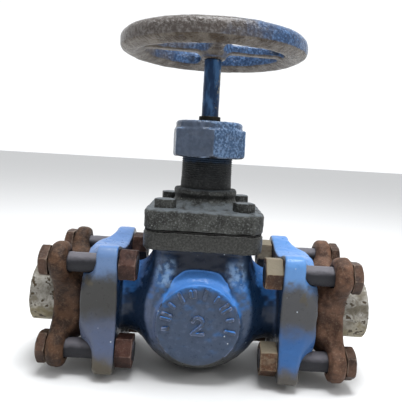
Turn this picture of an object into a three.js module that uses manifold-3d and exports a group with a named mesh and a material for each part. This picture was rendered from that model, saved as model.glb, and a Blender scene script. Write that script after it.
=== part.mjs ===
// Two-inch globe-pattern stop valve between two square bolted companion flanges with pipe stubs.
// Frame: millimetres, +X along the pipe from inlet to outlet, +Z up the stem, the stem axis at
// x = y = 0, and z = 0 at the small flat foot under the globe that the valve stands on.
// The valve is shown open. Clockwise turns of the handwheel screw the stem and disc down.
import * as THREE from "three";
import { mergeVertices } from "three/addons/utils/BufferGeometryUtils.js";
import Module from "manifold-3d";

const wasm = await Module();
wasm.setup();

// ---------------------------------------------------------------- driving dimensions
// Clearances
const FACE_GAP = 0.3;            // between two faces that touch when bolted up
const RUNNING_GAP = 0.35;        // radial, round a shaft, a screw thread or a spigot
const HOLE_CLEARANCE = 0.8;      // radial, round a bolt shank in its drilled hole
const OVERCUT = 1;               // how far a cutter runs past the face that it opens
const EDGE_BREAK = 2;            // small chamfer on turned edges
const CHAMFER_SLOPE = 0.5;       // drop to width of the turned-off corners of a hexagon

// Pipe line
const PIPE_OUTER_RADIUS = 30.15; // nominal two-inch pipe, 60.3 across
const PIPE_WALL = 3.9;
const PORT_RADIUS = 26;
const PORT_START_X = 54;         // where the port opens out of the globe's cavity
const STUB_OUTSTAND = 26;        // bare pipe beyond the companion flange

// Globe body
const GLOBE_RADIUS = 70;
const FOOT_DEPTH = 1.5;          // how much the foot flattens the bottom of the globe
const GLOBE_FLAT_Y = 54;         // how far the globe bulges out to the front and back
const BOSS_FACE_Y = 58.5;        // the flat round name boss, front and back
const BOSS_RADIUS = 40;          // of its face
const BOSS_ROOT_RADIUS = 44;     // where it runs into the globe
const BOSS_ROOT_Y = 45;
const BOSS_DROP = 8;             // from the pipe axis down to its middle
const BOSS_WALL = 8;
const GLOBE_WALL = 10;
const BARREL_RADIUS = 35.6;
const NECK_HALF_X = 49;
const NECK_HALF_Y = 50;
const NECK_CORNER = 20;
const POCKET_HALF_X = 36;        // scooped pocket in the neck, under the square flange
const POCKET_HEIGHT = 22.8;
const POCKET_WALL = 11;

// End flanges of the body
const FLANGE_HALF = 62.5;        // square flange, 125 across
const FLANGE_SIDE_DIP = 9.5;     // each side curves in by this much between its ears
const FLANGE_EAR_TIP = 20;       // straight length at each end of a side
const FLANGE_BACK_X = 78.3;
const EAR_THICKNESS = 20;
const JOINT_FACE_X = 114;
const HUB_FACE_RADIUS = 54;
const HUB_ROOT_RADIUS = 66;
const BOLT_HALF_PITCH = 42.65;   // four bolts on a 120.6 circle

// Flange gasket and companion flange
const FLANGE_GASKET_THICKNESS = 1.4;
const COMPANION_WAIST = 38;
const COMPANION_EAR_RADIUS = 19;
const COMPANION_THICKNESS = 28.5;
const COMPANION_EAR_THICKNESS = 17;
const COMPANION_HUB_FACE_RADIUS = 41;
const SOCKET_LIP = 5;            // stop for the pipe end inside the companion flange

// Three-quarter inch flange bolts
const BOLT_RADIUS = 9.52;
const BOLT_HEX_WIDTH = 28.6;
const BOLT_HEAD_HEIGHT = 11;
const BOLT_NUT_HEIGHT = 16.3;
const BOLT_OUTSTAND = 0.8;
const WRENCH_TURNS = [0, 11, -8, 18]; // degrees that each hexagon stands turned from level
const BOLT_HEAD_TURN = 6;        // degrees, of a bolt's head from its nut

// Square bonnet joint
const BONNET_HALF = 57.5;
const BONNET_CORNER = 17;
const BODY_TOP_FLANGE_LOW = 61.3;   // above the pipe axis
const BODY_TOP_FLANGE_THICKNESS = 17.6;
const BONNET_GASKET_THICKNESS = 0.8;
const GASKET_SETBACK = 1;           // gasket edge inside the flange edges
const BONNET_PLATE_THICKNESS = 19;
const BONNET_BORE_RADIUS = 34;
const BONNET_SPIGOT_DEPTH = 6;
const SCREW_PITCH_HALF = 38;
const SCREW_RADIUS = 6.35;
const SCREW_HEX_WIDTH = 19.05;
const SCREW_HEAD_HEIGHT = 8;
const SCREW_DEPTH_IN_BODY = 14;
const SCREW_HOLE_SPARE = 2;         // tapped hole below the screw's end

// Bonnet tower
const COLLAR_RADIUS = 31.4;
const COLLAR_DOME_HEIGHT = 8;
const COLLAR_DOME_RADIUS = 41;
const COLLAR_HEIGHT = 10;
const TOWER_RADIUS = 26.1;
const TOWER_HEIGHT = 59;            // above the collar
const BONNET_CHAMBER_RADIUS = 26;
const BONNET_CHAMBER_CONE = 6;      // height of the cone between the chamber and the thread
const STEM_THREAD_LOW = 5;          // start of the stem thread above the plate's underside
const STEM_THREAD_LENGTH = 42;
const STUFFING_BOX_RADIUS = 15.5;

// Packing
const PACKING_WASHER_THICKNESS = 3;
const PACKING_RING_COUNT = 3;
const PACKING_RING_HEIGHT = 7;
const FOLLOWER_FLANGE_RADIUS = 21;
const FOLLOWER_FLANGE_HEIGHT = 6;
const FOLLOWER_LIP_RADIUS = 11.2;
const FOLLOWER_LIP_OUTSTAND = 1.5;
const PACKING_NUT_HEX_WIDTH = 69.85;
const PACKING_NUT_HEX_HEIGHT = 28.5;
const PACKING_NUT_TURN = 7;         // degrees
const PACKING_NUT_TOP_RADIUS = 34.2;
const PACKING_NUT_TOP_HEIGHT = 12;
const PACKING_NUT_ROOF = 6;
const PACKING_NUT_SKIRT = 26.5;     // how far the nut reaches down over the tower

// Seat, disc and stem
const LIFT = 18;
const SEAT_WALL_TOP = 3;            // above the pipe axis
const SEAT_WALL_THICKNESS = 9;
const SEAT_BORE_RADIUS = 25;
const SEAT_RING_RADIUS = 33;
const SEAT_LIP_RADIUS = 36;
const SEAT_LIP_HEIGHT = 4;
const SEAT_LEDGE = 1.5;             // level part of the seat wall outside the ring's lip
const DISC_RADIUS = 31;
const DISC_PLATE_THICKNESS = 8.4;
const INSERT_INNER_RADIUS = 23;
const INSERT_OUTER_RADIUS = 30;
const INSERT_THICKNESS = 6;
const DISC_SOCKET_RADIUS = 15;
const DISC_SOCKET_WALL = 5;
const DISC_SOCKET_HEIGHT = 17;
const DISC_SOCKET_FLOOR_DEPTH = 7.4;
const DISC_GUIDE_SHORT = 0.5;       // the disc's centre stands this far above the insert's face
const STEM_BUTTON_RADIUS = 12.5;
const STEM_BUTTON_HEIGHT = 5;
const STEM_RADIUS = 8.7;
const STEM_THREAD_RADIUS = 11;
const STEM_THREADED_LENGTH = 56;
const DISC_NUT_HEX_WIDTH = 34;
const DISC_NUT_HEX_HEIGHT = 4.7;

// Handwheel
const WHEEL_HEIGHT = 260.9;         // rim centre above the pipe axis
const WHEEL_RIM_RADIUS = 82.4;
const RIM_HALF_WIDTH = 12;
const RIM_HALF_HEIGHT = 11.3;
const SPOKE_COUNT = 4;
const SPOKE_TURN = 8;               // degrees
const SPOKE_HALF_WIDTH = 7.5;
const SPOKE_HALF_HEIGHT = 4.6;
const HUB_RADIUS = 16;
const HUB_BELOW_RIM_CENTRE = 11.5;
const HUB_HEIGHT = 27.5;
const SQUARE_DRIVE_WIDTH = 12.4;
const STEM_TIP_RADIUS = 5.5;
const STEM_TIP_LENGTH = 16;
const WHEEL_WASHER_RADIUS = 12.5;
const WHEEL_WASHER_THICKNESS = 2;
const WHEEL_NUT_HEX_WIDTH = 17.5;
const WHEEL_NUT_HEIGHT = 10;

// Roundness of turned shapes
const FINE = 28;
const COARSE = 14;
const CAVITY_SEGMENTS = 20;
const CORNER_SEGMENTS = 5;
const RIM_SIDES = 10;
const SPOKE_SIDES = 8;

// ---------------------------------------------------------------- places worked out from them
const AXIS_Z = GLOBE_RADIUS - FOOT_DEPTH;            // height of the pipe axis above the foot
const EAR_FACE_X = FLANGE_BACK_X + EAR_THICKNESS;
const COMPANION_FACE_X = JOINT_FACE_X + FLANGE_GASKET_THICKNESS + 2 * FACE_GAP;
const COMPANION_OUTER_X = COMPANION_FACE_X + COMPANION_THICKNESS;
const COMPANION_EAR_X = COMPANION_OUTER_X - COMPANION_EAR_THICKNESS;
const STUB_INNER_X = COMPANION_FACE_X + SOCKET_LIP + FACE_GAP;
const STUB_END_X = COMPANION_OUTER_X + STUB_OUTSTAND;
const STUB_BORE_RADIUS = PIPE_OUTER_RADIUS - PIPE_WALL;

const BODY_TOP = BODY_TOP_FLANGE_LOW + BODY_TOP_FLANGE_THICKNESS;
const PLATE_LOW = BODY_TOP + BONNET_GASKET_THICKNESS + 2 * FACE_GAP;
const PLATE_TOP = PLATE_LOW + BONNET_PLATE_THICKNESS;
const COLLAR_TOP = PLATE_TOP + COLLAR_DOME_HEIGHT + COLLAR_HEIGHT;
const TOWER_TOP = COLLAR_TOP + TOWER_HEIGHT;
const THREAD_LOW = PLATE_LOW + STEM_THREAD_LOW;
const STUFFING_BOX_FLOOR = THREAD_LOW + STEM_THREAD_LENGTH;
const NUT_LOW = TOWER_TOP - PACKING_NUT_SKIRT;
const NUT_TOP = NUT_LOW + PACKING_NUT_HEX_HEIGHT + PACKING_NUT_TOP_HEIGHT;
const NUT_ROOF_LOW = NUT_TOP - PACKING_NUT_ROOF;

const SEAT_FACE = SEAT_WALL_TOP + FACE_GAP + SEAT_LIP_HEIGHT;
const INSERT_LOW = SEAT_FACE + FACE_GAP + LIFT;      // open position
const DISC_PLATE_LOW = INSERT_LOW + INSERT_THICKNESS + FACE_GAP;
const DISC_PLATE_TOP = DISC_PLATE_LOW + DISC_PLATE_THICKNESS;
const SOCKET_FLOOR = DISC_PLATE_TOP - DISC_SOCKET_FLOOR_DEPTH;
const SOCKET_TOP = SOCKET_FLOOR + DISC_SOCKET_HEIGHT;
const BUTTON_LOW = SOCKET_FLOOR + FACE_GAP;
const BUTTON_TOP = BUTTON_LOW + STEM_BUTTON_HEIGHT;
const STEM_THREAD_TOP = STUFFING_BOX_FLOOR - EDGE_BREAK; // shoulder just under the stuffing box
const HUB_LOW = WHEEL_HEIGHT - HUB_BELOW_RIM_CENTRE;
const HUB_TOP = HUB_LOW + HUB_HEIGHT;

// ---------------------------------------------------------------- materials
function paint(colour, roughness, metalness) {
  return new THREE.MeshStandardMaterial({ color: colour, roughness, metalness });
}
const BLUE_PAINT = paint(0x3f62a0, 0.5, 0.2);
const SOOTY_CASTING = paint(0x4a4b47, 0.85, 0.3);
const RUSTY_FORGING = paint(0x63453a, 0.85, 0.4);
const RUSTY_BOLT = paint(0x553730, 0.8, 0.5);
const GALVANISED = paint(0x8f8d84, 0.5, 0.8);
const BRIGHT_STEEL = paint(0x9b9b98, 0.35, 0.9);
const BRONZE = paint(0x9a7b45, 0.4, 0.9);
const FIBRE = paint(0x2c2b2a, 0.9, 0);
const SEAT_POLYMER = paint(0xdcd9cf, 0.5, 0);

// ---------------------------------------------------------------- solid helpers
/** Turns a closed three.js geometry into a solid that faces outward. */
function solidOf(geometry) {
  const bare = geometry.clone();
  bare.deleteAttribute("normal");
  bare.deleteAttribute("uv");
  const merged = mergeVertices(bare, 1e-4);
  const corners = merged.index.array;
  const triangles = [];
  for (let i = 0; i < corners.length; i += 3) {
    const [a, b, c] = corners.slice(i, i + 3);
    if (a !== b && b !== c && c !== a) triangles.push(a, b, c);
  }
  const solid = solidOfTriangles(merged.attributes.position.array, triangles);
  if (solid.volume() > 0) return solid;
  return solidOfTriangles(merged.attributes.position.array, triangles.reverse());
}

function solidOfTriangles(positions, triangles) {
  const vertProperties = new Float32Array(positions);
  const triVerts = new Uint32Array(triangles);
  return new wasm.Manifold(new wasm.Mesh({ numProp: 3, vertProperties, triVerts }));
}

function meshOf(name, solid, material) {
  const { vertProperties, triVerts } = solid.getMesh();
  const geometry = new THREE.BufferGeometry();
  geometry.setAttribute("position", new THREE.BufferAttribute(vertProperties, 3));
  geometry.setIndex(new THREE.BufferAttribute(triVerts, 1));
  geometry.computeVertexNormals();
  const mesh = new THREE.Mesh(geometry, material);
  mesh.name = name;
  return mesh;
}

const rotateY = new THREE.Matrix4().makeRotationY(Math.PI / 2);
const rotateX = new THREE.Matrix4().makeRotationX(Math.PI / 2);

/** Solid of revolution about Z from [radius, height] pairs given bottom to top along the wall. */
function turned(profile, segments = FINE) {
  const points = profile.map(([radius, height]) => new THREE.Vector2(radius, height));
  return solidOf(new THREE.LatheGeometry(points, segments).applyMatrix4(rotateX));
}

/** A full cylinder or a tube about Z. */
function drum(radius, low, high, segments = FINE) {
  return turned([[0, low], [radius, low], [radius, high], [0, high]], segments);
}

function tube(inner, outer, low, high, segments = FINE) {
  return turned([[inner, low], [outer, low], [outer, high], [inner, high], [inner, low]], segments);
}

/** The same shape laid along +X instead of +Z. */
function alongX(solid) {
  return solid.transform(rotateY.toArray());
}

function alongY(solid) {
  return solid.transform(rotateX.toArray());
}

function extruded(shape, low, high) {
  const settings = { depth: high - low, bevelEnabled: false, curveSegments: CORNER_SEGMENTS };
  return solidOf(new THREE.ExtrudeGeometry(shape, settings).translate(0, 0, low));
}

function roundedRectangle(halfX, halfY, corner) {
  const shape = new THREE.Shape();
  shape.absarc(halfX - corner, halfY - corner, corner, 0, Math.PI / 2);
  shape.absarc(corner - halfX, halfY - corner, corner, Math.PI / 2, Math.PI);
  shape.absarc(corner - halfX, corner - halfY, corner, Math.PI, 1.5 * Math.PI);
  shape.absarc(halfX - corner, corner - halfY, corner, 1.5 * Math.PI, 2 * Math.PI);
  shape.closePath();
  return shape;
}

function hexBar(acrossFlats, low, high, turnDegrees = 0) {
  const cornerRadius = acrossFlats / Math.sqrt(3);
  const bar = new THREE.CylinderGeometry(cornerRadius, cornerRadius, high - low, 6);
  bar.applyMatrix4(rotateX).rotateZ(THREE.MathUtils.degToRad(turnDegrees));
  return solidOf(bar.translate(0, 0, (low + high) / 2));
}

/** A hexagonal bar about Z with the corners turned off at the ends that are asked for. */
function hexWithChamfer(acrossFlats, low, high, turnDegrees, chamferLow, chamferHigh) {
  const flatRadius = acrossFlats / 2;
  const cornerRadius = acrossFlats / Math.sqrt(3) + OVERCUT;
  const drop = (cornerRadius - flatRadius) * CHAMFER_SLOPE;
  const profile = [[0, low]];
  if (chamferLow) profile.push([flatRadius, low], [cornerRadius, low + drop]);
  else profile.push([cornerRadius, low]);
  if (chamferHigh) profile.push([cornerRadius, high - drop], [flatRadius, high]);
  else profile.push([cornerRadius, high]);
  profile.push([0, high]);
  return hexBar(acrossFlats, low, high, turnDegrees).intersect(turned(profile, COARSE));
}

function unite(...solids) {
  return solids.reduce((whole, piece) => whole.add(piece));
}

function cut(solid, ...cutters) {
  return cutters.reduce((rest, cutter) => rest.subtract(cutter), solid);
}

/** Calls make(signA, signB, number) for the four corners of a bolt square. */
function atFourCorners(make) {
  const corners = [[1, 1], [-1, 1], [-1, -1], [1, -1]];
  return corners.map(([a, b], index) => make(a, b, index + 1));
}

/** A group raised to the pipe axis: everything inside is measured from that axis. */
function axisGroup() {
  const group = new THREE.Group();
  group.position.z = AXIS_Z;
  return group;
}

// ---------------------------------------------------------------- outlines of the flanges
/** Square flange outline whose four sides curve in between the ears. */
function bodyFlangeOutline() {
  const chordHalf = FLANGE_HALF - FLANGE_EAR_TIP;
  const arcRadius = (chordHalf ** 2 + FLANGE_SIDE_DIP ** 2) / (2 * FLANGE_SIDE_DIP);
  const arcHalfAngle = Math.asin(chordHalf / arcRadius);
  const arcCentre = FLANGE_HALF - FLANGE_SIDE_DIP + arcRadius;
  const shape = new THREE.Shape();
  for (let side = 0; side < 4; side++) {
    const facing = side * Math.PI / 2;
    const centreX = arcCentre * Math.cos(facing);
    const centreY = arcCentre * Math.sin(facing);
    const inward = facing + Math.PI;
    shape.absarc(centreX, centreY, arcRadius, inward + arcHalfAngle, inward - arcHalfAngle, true);
    const corner = FLANGE_HALF * Math.SQRT2;
    const diagonal = facing + Math.PI / 4;
    shape.lineTo(corner * Math.cos(diagonal), corner * Math.sin(diagonal));
  }
  shape.closePath();
  return shape;
}

/** Four round ears joined by deep arcs that touch the ears' circles. */
function companionOutline() {
  const pitch = BOLT_HALF_PITCH;
  const reach = COMPANION_EAR_RADIUS - COMPANION_WAIST;
  const arcCentre = (2 * pitch ** 2 - reach ** 2) / (2 * (pitch + reach));
  const arcRadius = arcCentre - COMPANION_WAIST;
  const lean = Math.atan2(arcCentre - pitch, pitch);
  const shape = new THREE.Shape();
  for (let side = 0; side < 4; side++) {
    const facing = side * Math.PI / 2;
    const centreX = arcCentre * Math.cos(facing);
    const centreY = arcCentre * Math.sin(facing);
    const open = Math.PI / 2 - lean;
    const inward = facing + Math.PI;
    shape.absarc(centreX, centreY, arcRadius, inward + open, inward - open, true);
    const diagonal = facing + Math.PI / 4;
    const earX = pitch * Math.SQRT2 * Math.cos(diagonal);
    const earY = pitch * Math.SQRT2 * Math.sin(diagonal);
    const start = facing - open;
    const end = facing + Math.PI / 2 + open;
    shape.absarc(earX, earY, COMPANION_EAR_RADIUS, start, end, false);
  }
  shape.closePath();
  return shape;
}

function boltHoles(radius, low, high) {
  return atFourCorners((a, b) => (
    drum(radius, low, high, COARSE).translate([a * BOLT_HALF_PITCH, b * BOLT_HALF_PITCH, 0])
  ));
}

// ---------------------------------------------------------------- body
/** One end flange about +Z: square ears with a thicker round hub that carries the joint face. */
function bodyEndFlange() {
  const wide = FLANGE_HALF * Math.SQRT2 + OVERCUT;
  const slab = extruded(bodyFlangeOutline(), FLANGE_BACK_X, JOINT_FACE_X);
  const thickness = turned([
    [0, FLANGE_BACK_X], [wide, FLANGE_BACK_X], [wide, EAR_FACE_X], [HUB_ROOT_RADIUS, EAR_FACE_X],
    [HUB_FACE_RADIUS, JOINT_FACE_X - EDGE_BREAK], [HUB_FACE_RADIUS - EDGE_BREAK, JOINT_FACE_X],
    [0, JOINT_FACE_X],
  ]);
  const barrel = drum(BARREL_RADIUS, 0, FLANGE_BACK_X + OVERCUT);
  const holes = boltHoles(BOLT_RADIUS + HOLE_CLEARANCE, FLANGE_BACK_X - OVERCUT, JOINT_FACE_X);
  return unite(cut(slab.intersect(thickness), ...holes), barrel);
}

function globe(radiusX, radiusY, radiusZ, segments) {
  const ball = new THREE.SphereGeometry(1, segments, segments / 2).applyMatrix4(rotateX);
  return solidOf(ball.scale(radiusX, radiusY, radiusZ));
}

/** Outer block that trims the globe to its two flattened sides and its foot. */
function globeTrim() {
  const reach = GLOBE_RADIUS + OVERCUT;
  const block = new THREE.BoxGeometry(2 * reach, 2 * GLOBE_FLAT_Y, AXIS_Z + reach);
  return solidOf(block.translate(0, 0, (reach - AXIS_Z) / 2));
}

/** The round name boss that stands out from the globe towards -Y. */
function nameBoss() {
  const boss = turned([
    [0, BOSS_ROOT_Y], [BOSS_ROOT_RADIUS, BOSS_ROOT_Y],
    [BOSS_RADIUS, BOSS_FACE_Y], [0, BOSS_FACE_Y],
  ]);
  return alongY(boss).translate([0, 0, -BOSS_DROP]);
}

/** Neck pocket under the square flange, on the side that signY points to. */
function neckPocket(signY) {
  const floor = BONNET_BORE_RADIUS + POCKET_WALL;
  const depth = BONNET_HALF + OVERCUT - floor;
  const corner = POCKET_HEIGHT / 2 - OVERCUT;
  const shape = roundedRectangle(POCKET_HALF_X, POCKET_HEIGHT / 2, corner);
  const scoop = alongY(extruded(shape, 0, depth));
  const startY = signY > 0 ? floor + depth : -floor;
  return scoop.translate([0, startY, BODY_TOP_FLANGE_LOW - POCKET_HEIGHT / 2]);
}

/** The S-shaped wall that carries the seat: inlet below it, outlet above it. */
function seatWall() {
  const half = SEAT_WALL_THICKNESS / 2;
  const level = SEAT_WALL_TOP - half;
  const run = SEAT_LIP_RADIUS + half + SEAT_LEDGE;
  const endX = GLOBE_RADIUS - GLOBE_WALL;
  const endZ = PORT_RADIUS + half;
  const shape = new THREE.Shape();
  shape.moveTo(-endX - half, endZ);
  shape.lineTo(-run, level - half);
  shape.lineTo(run - half, level - half);
  shape.lineTo(endX, -endZ - half);
  shape.lineTo(endX + half, -endZ);
  shape.lineTo(run, level + half);
  shape.lineTo(half - run, level + half);
  shape.lineTo(-endX, endZ + half);
  shape.closePath();
  const reach = GLOBE_RADIUS;
  return alongY(extruded(shape, -reach, reach));
}

function bodyCavity() {
  const inside = GLOBE_RADIUS - GLOBE_WALL;
  return globe(inside, BOSS_FACE_Y - BOSS_WALL, inside, CAVITY_SEGMENTS);
}

function makeBody() {
  const neckOutline = roundedRectangle(NECK_HALF_X, NECK_HALF_Y, NECK_CORNER);
  const neck = extruded(neckOutline, 0, BODY_TOP - OVERCUT);
  const square = roundedRectangle(BONNET_HALF, BONNET_HALF, BONNET_CORNER);
  const topFlange = extruded(square, BODY_TOP_FLANGE_LOW, BODY_TOP);
  const ball = globe(GLOBE_RADIUS, GLOBE_RADIUS, GLOBE_RADIUS, FINE).intersect(globeTrim());
  const pocketed = cut(unite(ball, neck), neckPocket(1), neckPocket(-1));
  const endFlange = alongX(bodyEndFlange());
  const boss = nameBoss();
  const shell = unite(
    pocketed, boss, boss.rotate([0, 0, 180]), topFlange,
    endFlange, endFlange.rotate([0, 0, 180]),
  );
  const port = alongX(drum(PORT_RADIUS, PORT_START_X, JOINT_FACE_X + OVERCUT));
  const tappedLow = BODY_TOP - SCREW_DEPTH_IN_BODY - SCREW_HOLE_SPARE;
  const tapped = screwHoles(SCREW_RADIUS + RUNNING_GAP, tappedLow, BODY_TOP + OVERCUT);
  const hollow = cut(shell, bodyCavity());
  const middle = GLOBE_RADIUS - GLOBE_WALL / 2;
  const wall = seatWall().intersect(
    globe(middle, BOSS_FACE_Y - BOSS_WALL / 2, middle, CAVITY_SEGMENTS),
  );
  const seatRadius = SEAT_RING_RADIUS + RUNNING_GAP;
  const seatHole = drum(seatRadius, -SEAT_WALL_THICKNESS, SEAT_WALL_TOP + OVERCUT);
  const neckBore = drum(BONNET_BORE_RADIUS, SEAT_FACE + OVERCUT, BODY_TOP + OVERCUT);
  const casting = cut(
    unite(hollow, wall), seatHole, neckBore, port, port.rotate([0, 0, 180]), ...tapped,
  );
  return meshOf("body", casting, BLUE_PAINT);
}

// ---------------------------------------------------------------- seat, disc and stem
function makeSeatRing() {
  const low = SEAT_WALL_TOP - SEAT_WALL_THICKNESS;
  const lipLow = SEAT_WALL_TOP + FACE_GAP;
  const ring = turned([
    [SEAT_BORE_RADIUS, low], [SEAT_RING_RADIUS, low], [SEAT_RING_RADIUS, lipLow],
    [SEAT_LIP_RADIUS, lipLow], [SEAT_LIP_RADIUS, SEAT_FACE - EDGE_BREAK],
    [SEAT_RING_RADIUS, SEAT_FACE],
    [SEAT_BORE_RADIUS, SEAT_FACE], [SEAT_BORE_RADIUS, low],
  ]);
  return meshOf("seat_ring", ring, BRONZE);
}

function makeDisc() {
  const guideRadius = INSERT_INNER_RADIUS - FACE_GAP;
  const neckRadius = DISC_SOCKET_RADIUS + DISC_SOCKET_WALL;
  const guideLow = INSERT_LOW + DISC_GUIDE_SHORT;
  const disc = turned([
    [0, guideLow], [guideRadius, guideLow], [guideRadius, DISC_PLATE_LOW],
    [DISC_RADIUS, DISC_PLATE_LOW], [DISC_RADIUS, DISC_PLATE_TOP], [neckRadius, DISC_PLATE_TOP],
    [neckRadius, SOCKET_TOP], [DISC_SOCKET_RADIUS, SOCKET_TOP],
    [DISC_SOCKET_RADIUS, SOCKET_FLOOR], [0, SOCKET_FLOOR],
  ]);
  return meshOf("disc", disc, BRONZE);
}

function makeDiscInsert() {
  const top = INSERT_LOW + INSERT_THICKNESS;
  const ring = tube(INSERT_INNER_RADIUS, INSERT_OUTER_RADIUS, INSERT_LOW, top);
  return meshOf("disc_insert", ring, SEAT_POLYMER);
}

function makeDiscNut() {
  const low = BUTTON_TOP + FACE_GAP;
  const hexLow = SOCKET_TOP + FACE_GAP;
  const hexTop = hexLow + DISC_NUT_HEX_HEIGHT;
  const hex = hexBar(DISC_NUT_HEX_WIDTH, hexLow, hexTop);
  const plug = drum(DISC_SOCKET_RADIUS - RUNNING_GAP, low, hexLow + OVERCUT, COARSE);
  const bore = drum(STEM_RADIUS + RUNNING_GAP, low - OVERCUT, hexTop + OVERCUT, COARSE);
  return meshOf("disc_nut", cut(unite(plug, hex), bore), BRONZE);
}

function makeStem() {
  const threadLow = STEM_THREAD_TOP - STEM_THREADED_LENGTH;
  const tipTop = HUB_TOP + STEM_TIP_LENGTH;
  const driveTop = HUB_TOP - OVERCUT;
  const tipEdge = EDGE_BREAK / 2;
  const round = turned([
    [0, BUTTON_LOW], [STEM_BUTTON_RADIUS, BUTTON_LOW], [STEM_BUTTON_RADIUS, BUTTON_TOP],
    [STEM_RADIUS, BUTTON_TOP], [STEM_RADIUS, threadLow],
    [STEM_THREAD_RADIUS, threadLow + EDGE_BREAK],
    [STEM_THREAD_RADIUS, STEM_THREAD_TOP - EDGE_BREAK], [STEM_RADIUS, STEM_THREAD_TOP],
    [STEM_RADIUS, driveTop], [STEM_TIP_RADIUS, driveTop], [STEM_TIP_RADIUS, tipTop - tipEdge],
    [STEM_TIP_RADIUS - tipEdge, tipTop], [0, tipTop],
  ], COARSE);
  const squarePart = squareBar(SQUARE_DRIVE_WIDTH, HUB_LOW, tipTop + OVERCUT);
  const roundPart = drum(STEM_BUTTON_RADIUS + OVERCUT, BUTTON_LOW - OVERCUT, HUB_LOW, COARSE);
  return meshOf("stem", round.intersect(unite(squarePart, roundPart)), BRIGHT_STEEL);
}

function squareBar(width, low, high) {
  const bar = new THREE.BoxGeometry(width, width, high - low).translate(0, 0, (low + high) / 2);
  return solidOf(bar);
}

// ---------------------------------------------------------------- bonnet and packing
function makeBonnetGasket() {
  const half = BONNET_HALF - GASKET_SETBACK;
  const low = BODY_TOP + FACE_GAP;
  const top = low + BONNET_GASKET_THICKNESS;
  const outline = roundedRectangle(half, half, BONNET_CORNER - GASKET_SETBACK);
  const sheet = extruded(outline, low, top);
  const holes = screwHoles(SCREW_RADIUS + HOLE_CLEARANCE, low - OVERCUT, top + OVERCUT);
  const bore = drum(BONNET_BORE_RADIUS, low - OVERCUT, top + OVERCUT);
  return meshOf("bonnet_gasket", cut(sheet, bore, ...holes), FIBRE);
}

function screwHoles(radius, low, high) {
  return atFourCorners((a, b) => (
    drum(radius, low, high, COARSE).translate([a * SCREW_PITCH_HALF, b * SCREW_PITCH_HALF, 0])
  ));
}

/** Upright part of the bonnet: spigot, domed shoulder, collar and threaded tower. */
function bonnetTower() {
  const spigotLow = PLATE_LOW - BONNET_SPIGOT_DEPTH;
  const spigotTop = PLATE_LOW + OVERCUT;
  const spigotRadius = BONNET_BORE_RADIUS - RUNNING_GAP;
  const domeMidRadius = (2 * COLLAR_DOME_RADIUS + COLLAR_RADIUS) / 3;
  const domeMid = PLATE_TOP + COLLAR_DOME_HEIGHT / 3;
  const collarLow = PLATE_TOP + COLLAR_DOME_HEIGHT;
  return turned([
    [0, spigotLow], [spigotRadius, spigotLow], [spigotRadius, spigotTop],
    [COLLAR_DOME_RADIUS, spigotTop], [COLLAR_DOME_RADIUS, PLATE_TOP], [domeMidRadius, domeMid],
    [COLLAR_RADIUS, collarLow], [COLLAR_RADIUS, COLLAR_TOP - EDGE_BREAK],
    [COLLAR_RADIUS - EDGE_BREAK, COLLAR_TOP], [TOWER_RADIUS, COLLAR_TOP],
    [TOWER_RADIUS, TOWER_TOP], [0, TOWER_TOP],
  ]);
}

/** The hollow up the middle of the bonnet: chamber, stem thread and stuffing box. */
function bonnetHollow() {
  const low = PLATE_LOW - BONNET_SPIGOT_DEPTH - OVERCUT;
  const coneLow = THREAD_LOW - BONNET_CHAMBER_CONE;
  const threadRadius = STEM_THREAD_RADIUS + RUNNING_GAP;
  return turned([
    [0, low], [BONNET_CHAMBER_RADIUS, low], [BONNET_CHAMBER_RADIUS, coneLow],
    [threadRadius, THREAD_LOW], [threadRadius, STUFFING_BOX_FLOOR],
    [STUFFING_BOX_RADIUS, STUFFING_BOX_FLOOR], [STUFFING_BOX_RADIUS, TOWER_TOP + OVERCUT],
    [0, TOWER_TOP + OVERCUT],
  ], COARSE);
}

function makeBonnet() {
  const square = roundedRectangle(BONNET_HALF, BONNET_HALF, BONNET_CORNER);
  const plate = extruded(square, PLATE_LOW, PLATE_TOP);
  const holes = screwHoles(SCREW_RADIUS + HOLE_CLEARANCE, PLATE_LOW - OVERCUT, PLATE_TOP + OVERCUT);
  const casting = cut(unite(plate, bonnetTower()), bonnetHollow(), ...holes);
  return meshOf("bonnet", casting, SOOTY_CASTING);
}

function makeBonnetScrew(a, b, number) {
  const headLow = PLATE_TOP + FACE_GAP;
  const turn = WRENCH_TURNS[number - 1];
  const headTop = headLow + SCREW_HEAD_HEIGHT;
  const head = hexWithChamfer(SCREW_HEX_WIDTH, headLow, headTop, turn, false, true);
  const shank = drum(SCREW_RADIUS, BODY_TOP - SCREW_DEPTH_IN_BODY, headLow + OVERCUT, COARSE);
  const place = [a * SCREW_PITCH_HALF, b * SCREW_PITCH_HALF, 0];
  return meshOf(`bonnet_screw_${number}`, unite(head, shank).translate(place), SOOTY_CASTING);
}

function makePacking() {
  const inner = STEM_RADIUS + RUNNING_GAP;
  const outer = STUFFING_BOX_RADIUS - RUNNING_GAP;
  const pieces = [];
  let low = STUFFING_BOX_FLOOR + FACE_GAP;
  const washer = tube(inner, outer, low, low + PACKING_WASHER_THICKNESS, COARSE);
  pieces.push(meshOf("packing_washer", washer, BRONZE));
  low += PACKING_WASHER_THICKNESS + FACE_GAP;
  for (let number = 1; number <= PACKING_RING_COUNT; number++) {
    const ring = tube(inner, outer, low, low + PACKING_RING_HEIGHT, COARSE);
    pieces.push(meshOf(`packing_ring_${number}`, ring, FIBRE));
    low += PACKING_RING_HEIGHT + FACE_GAP;
  }
  pieces.push(makeGlandFollower(inner, outer, low));
  return pieces;
}

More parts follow.
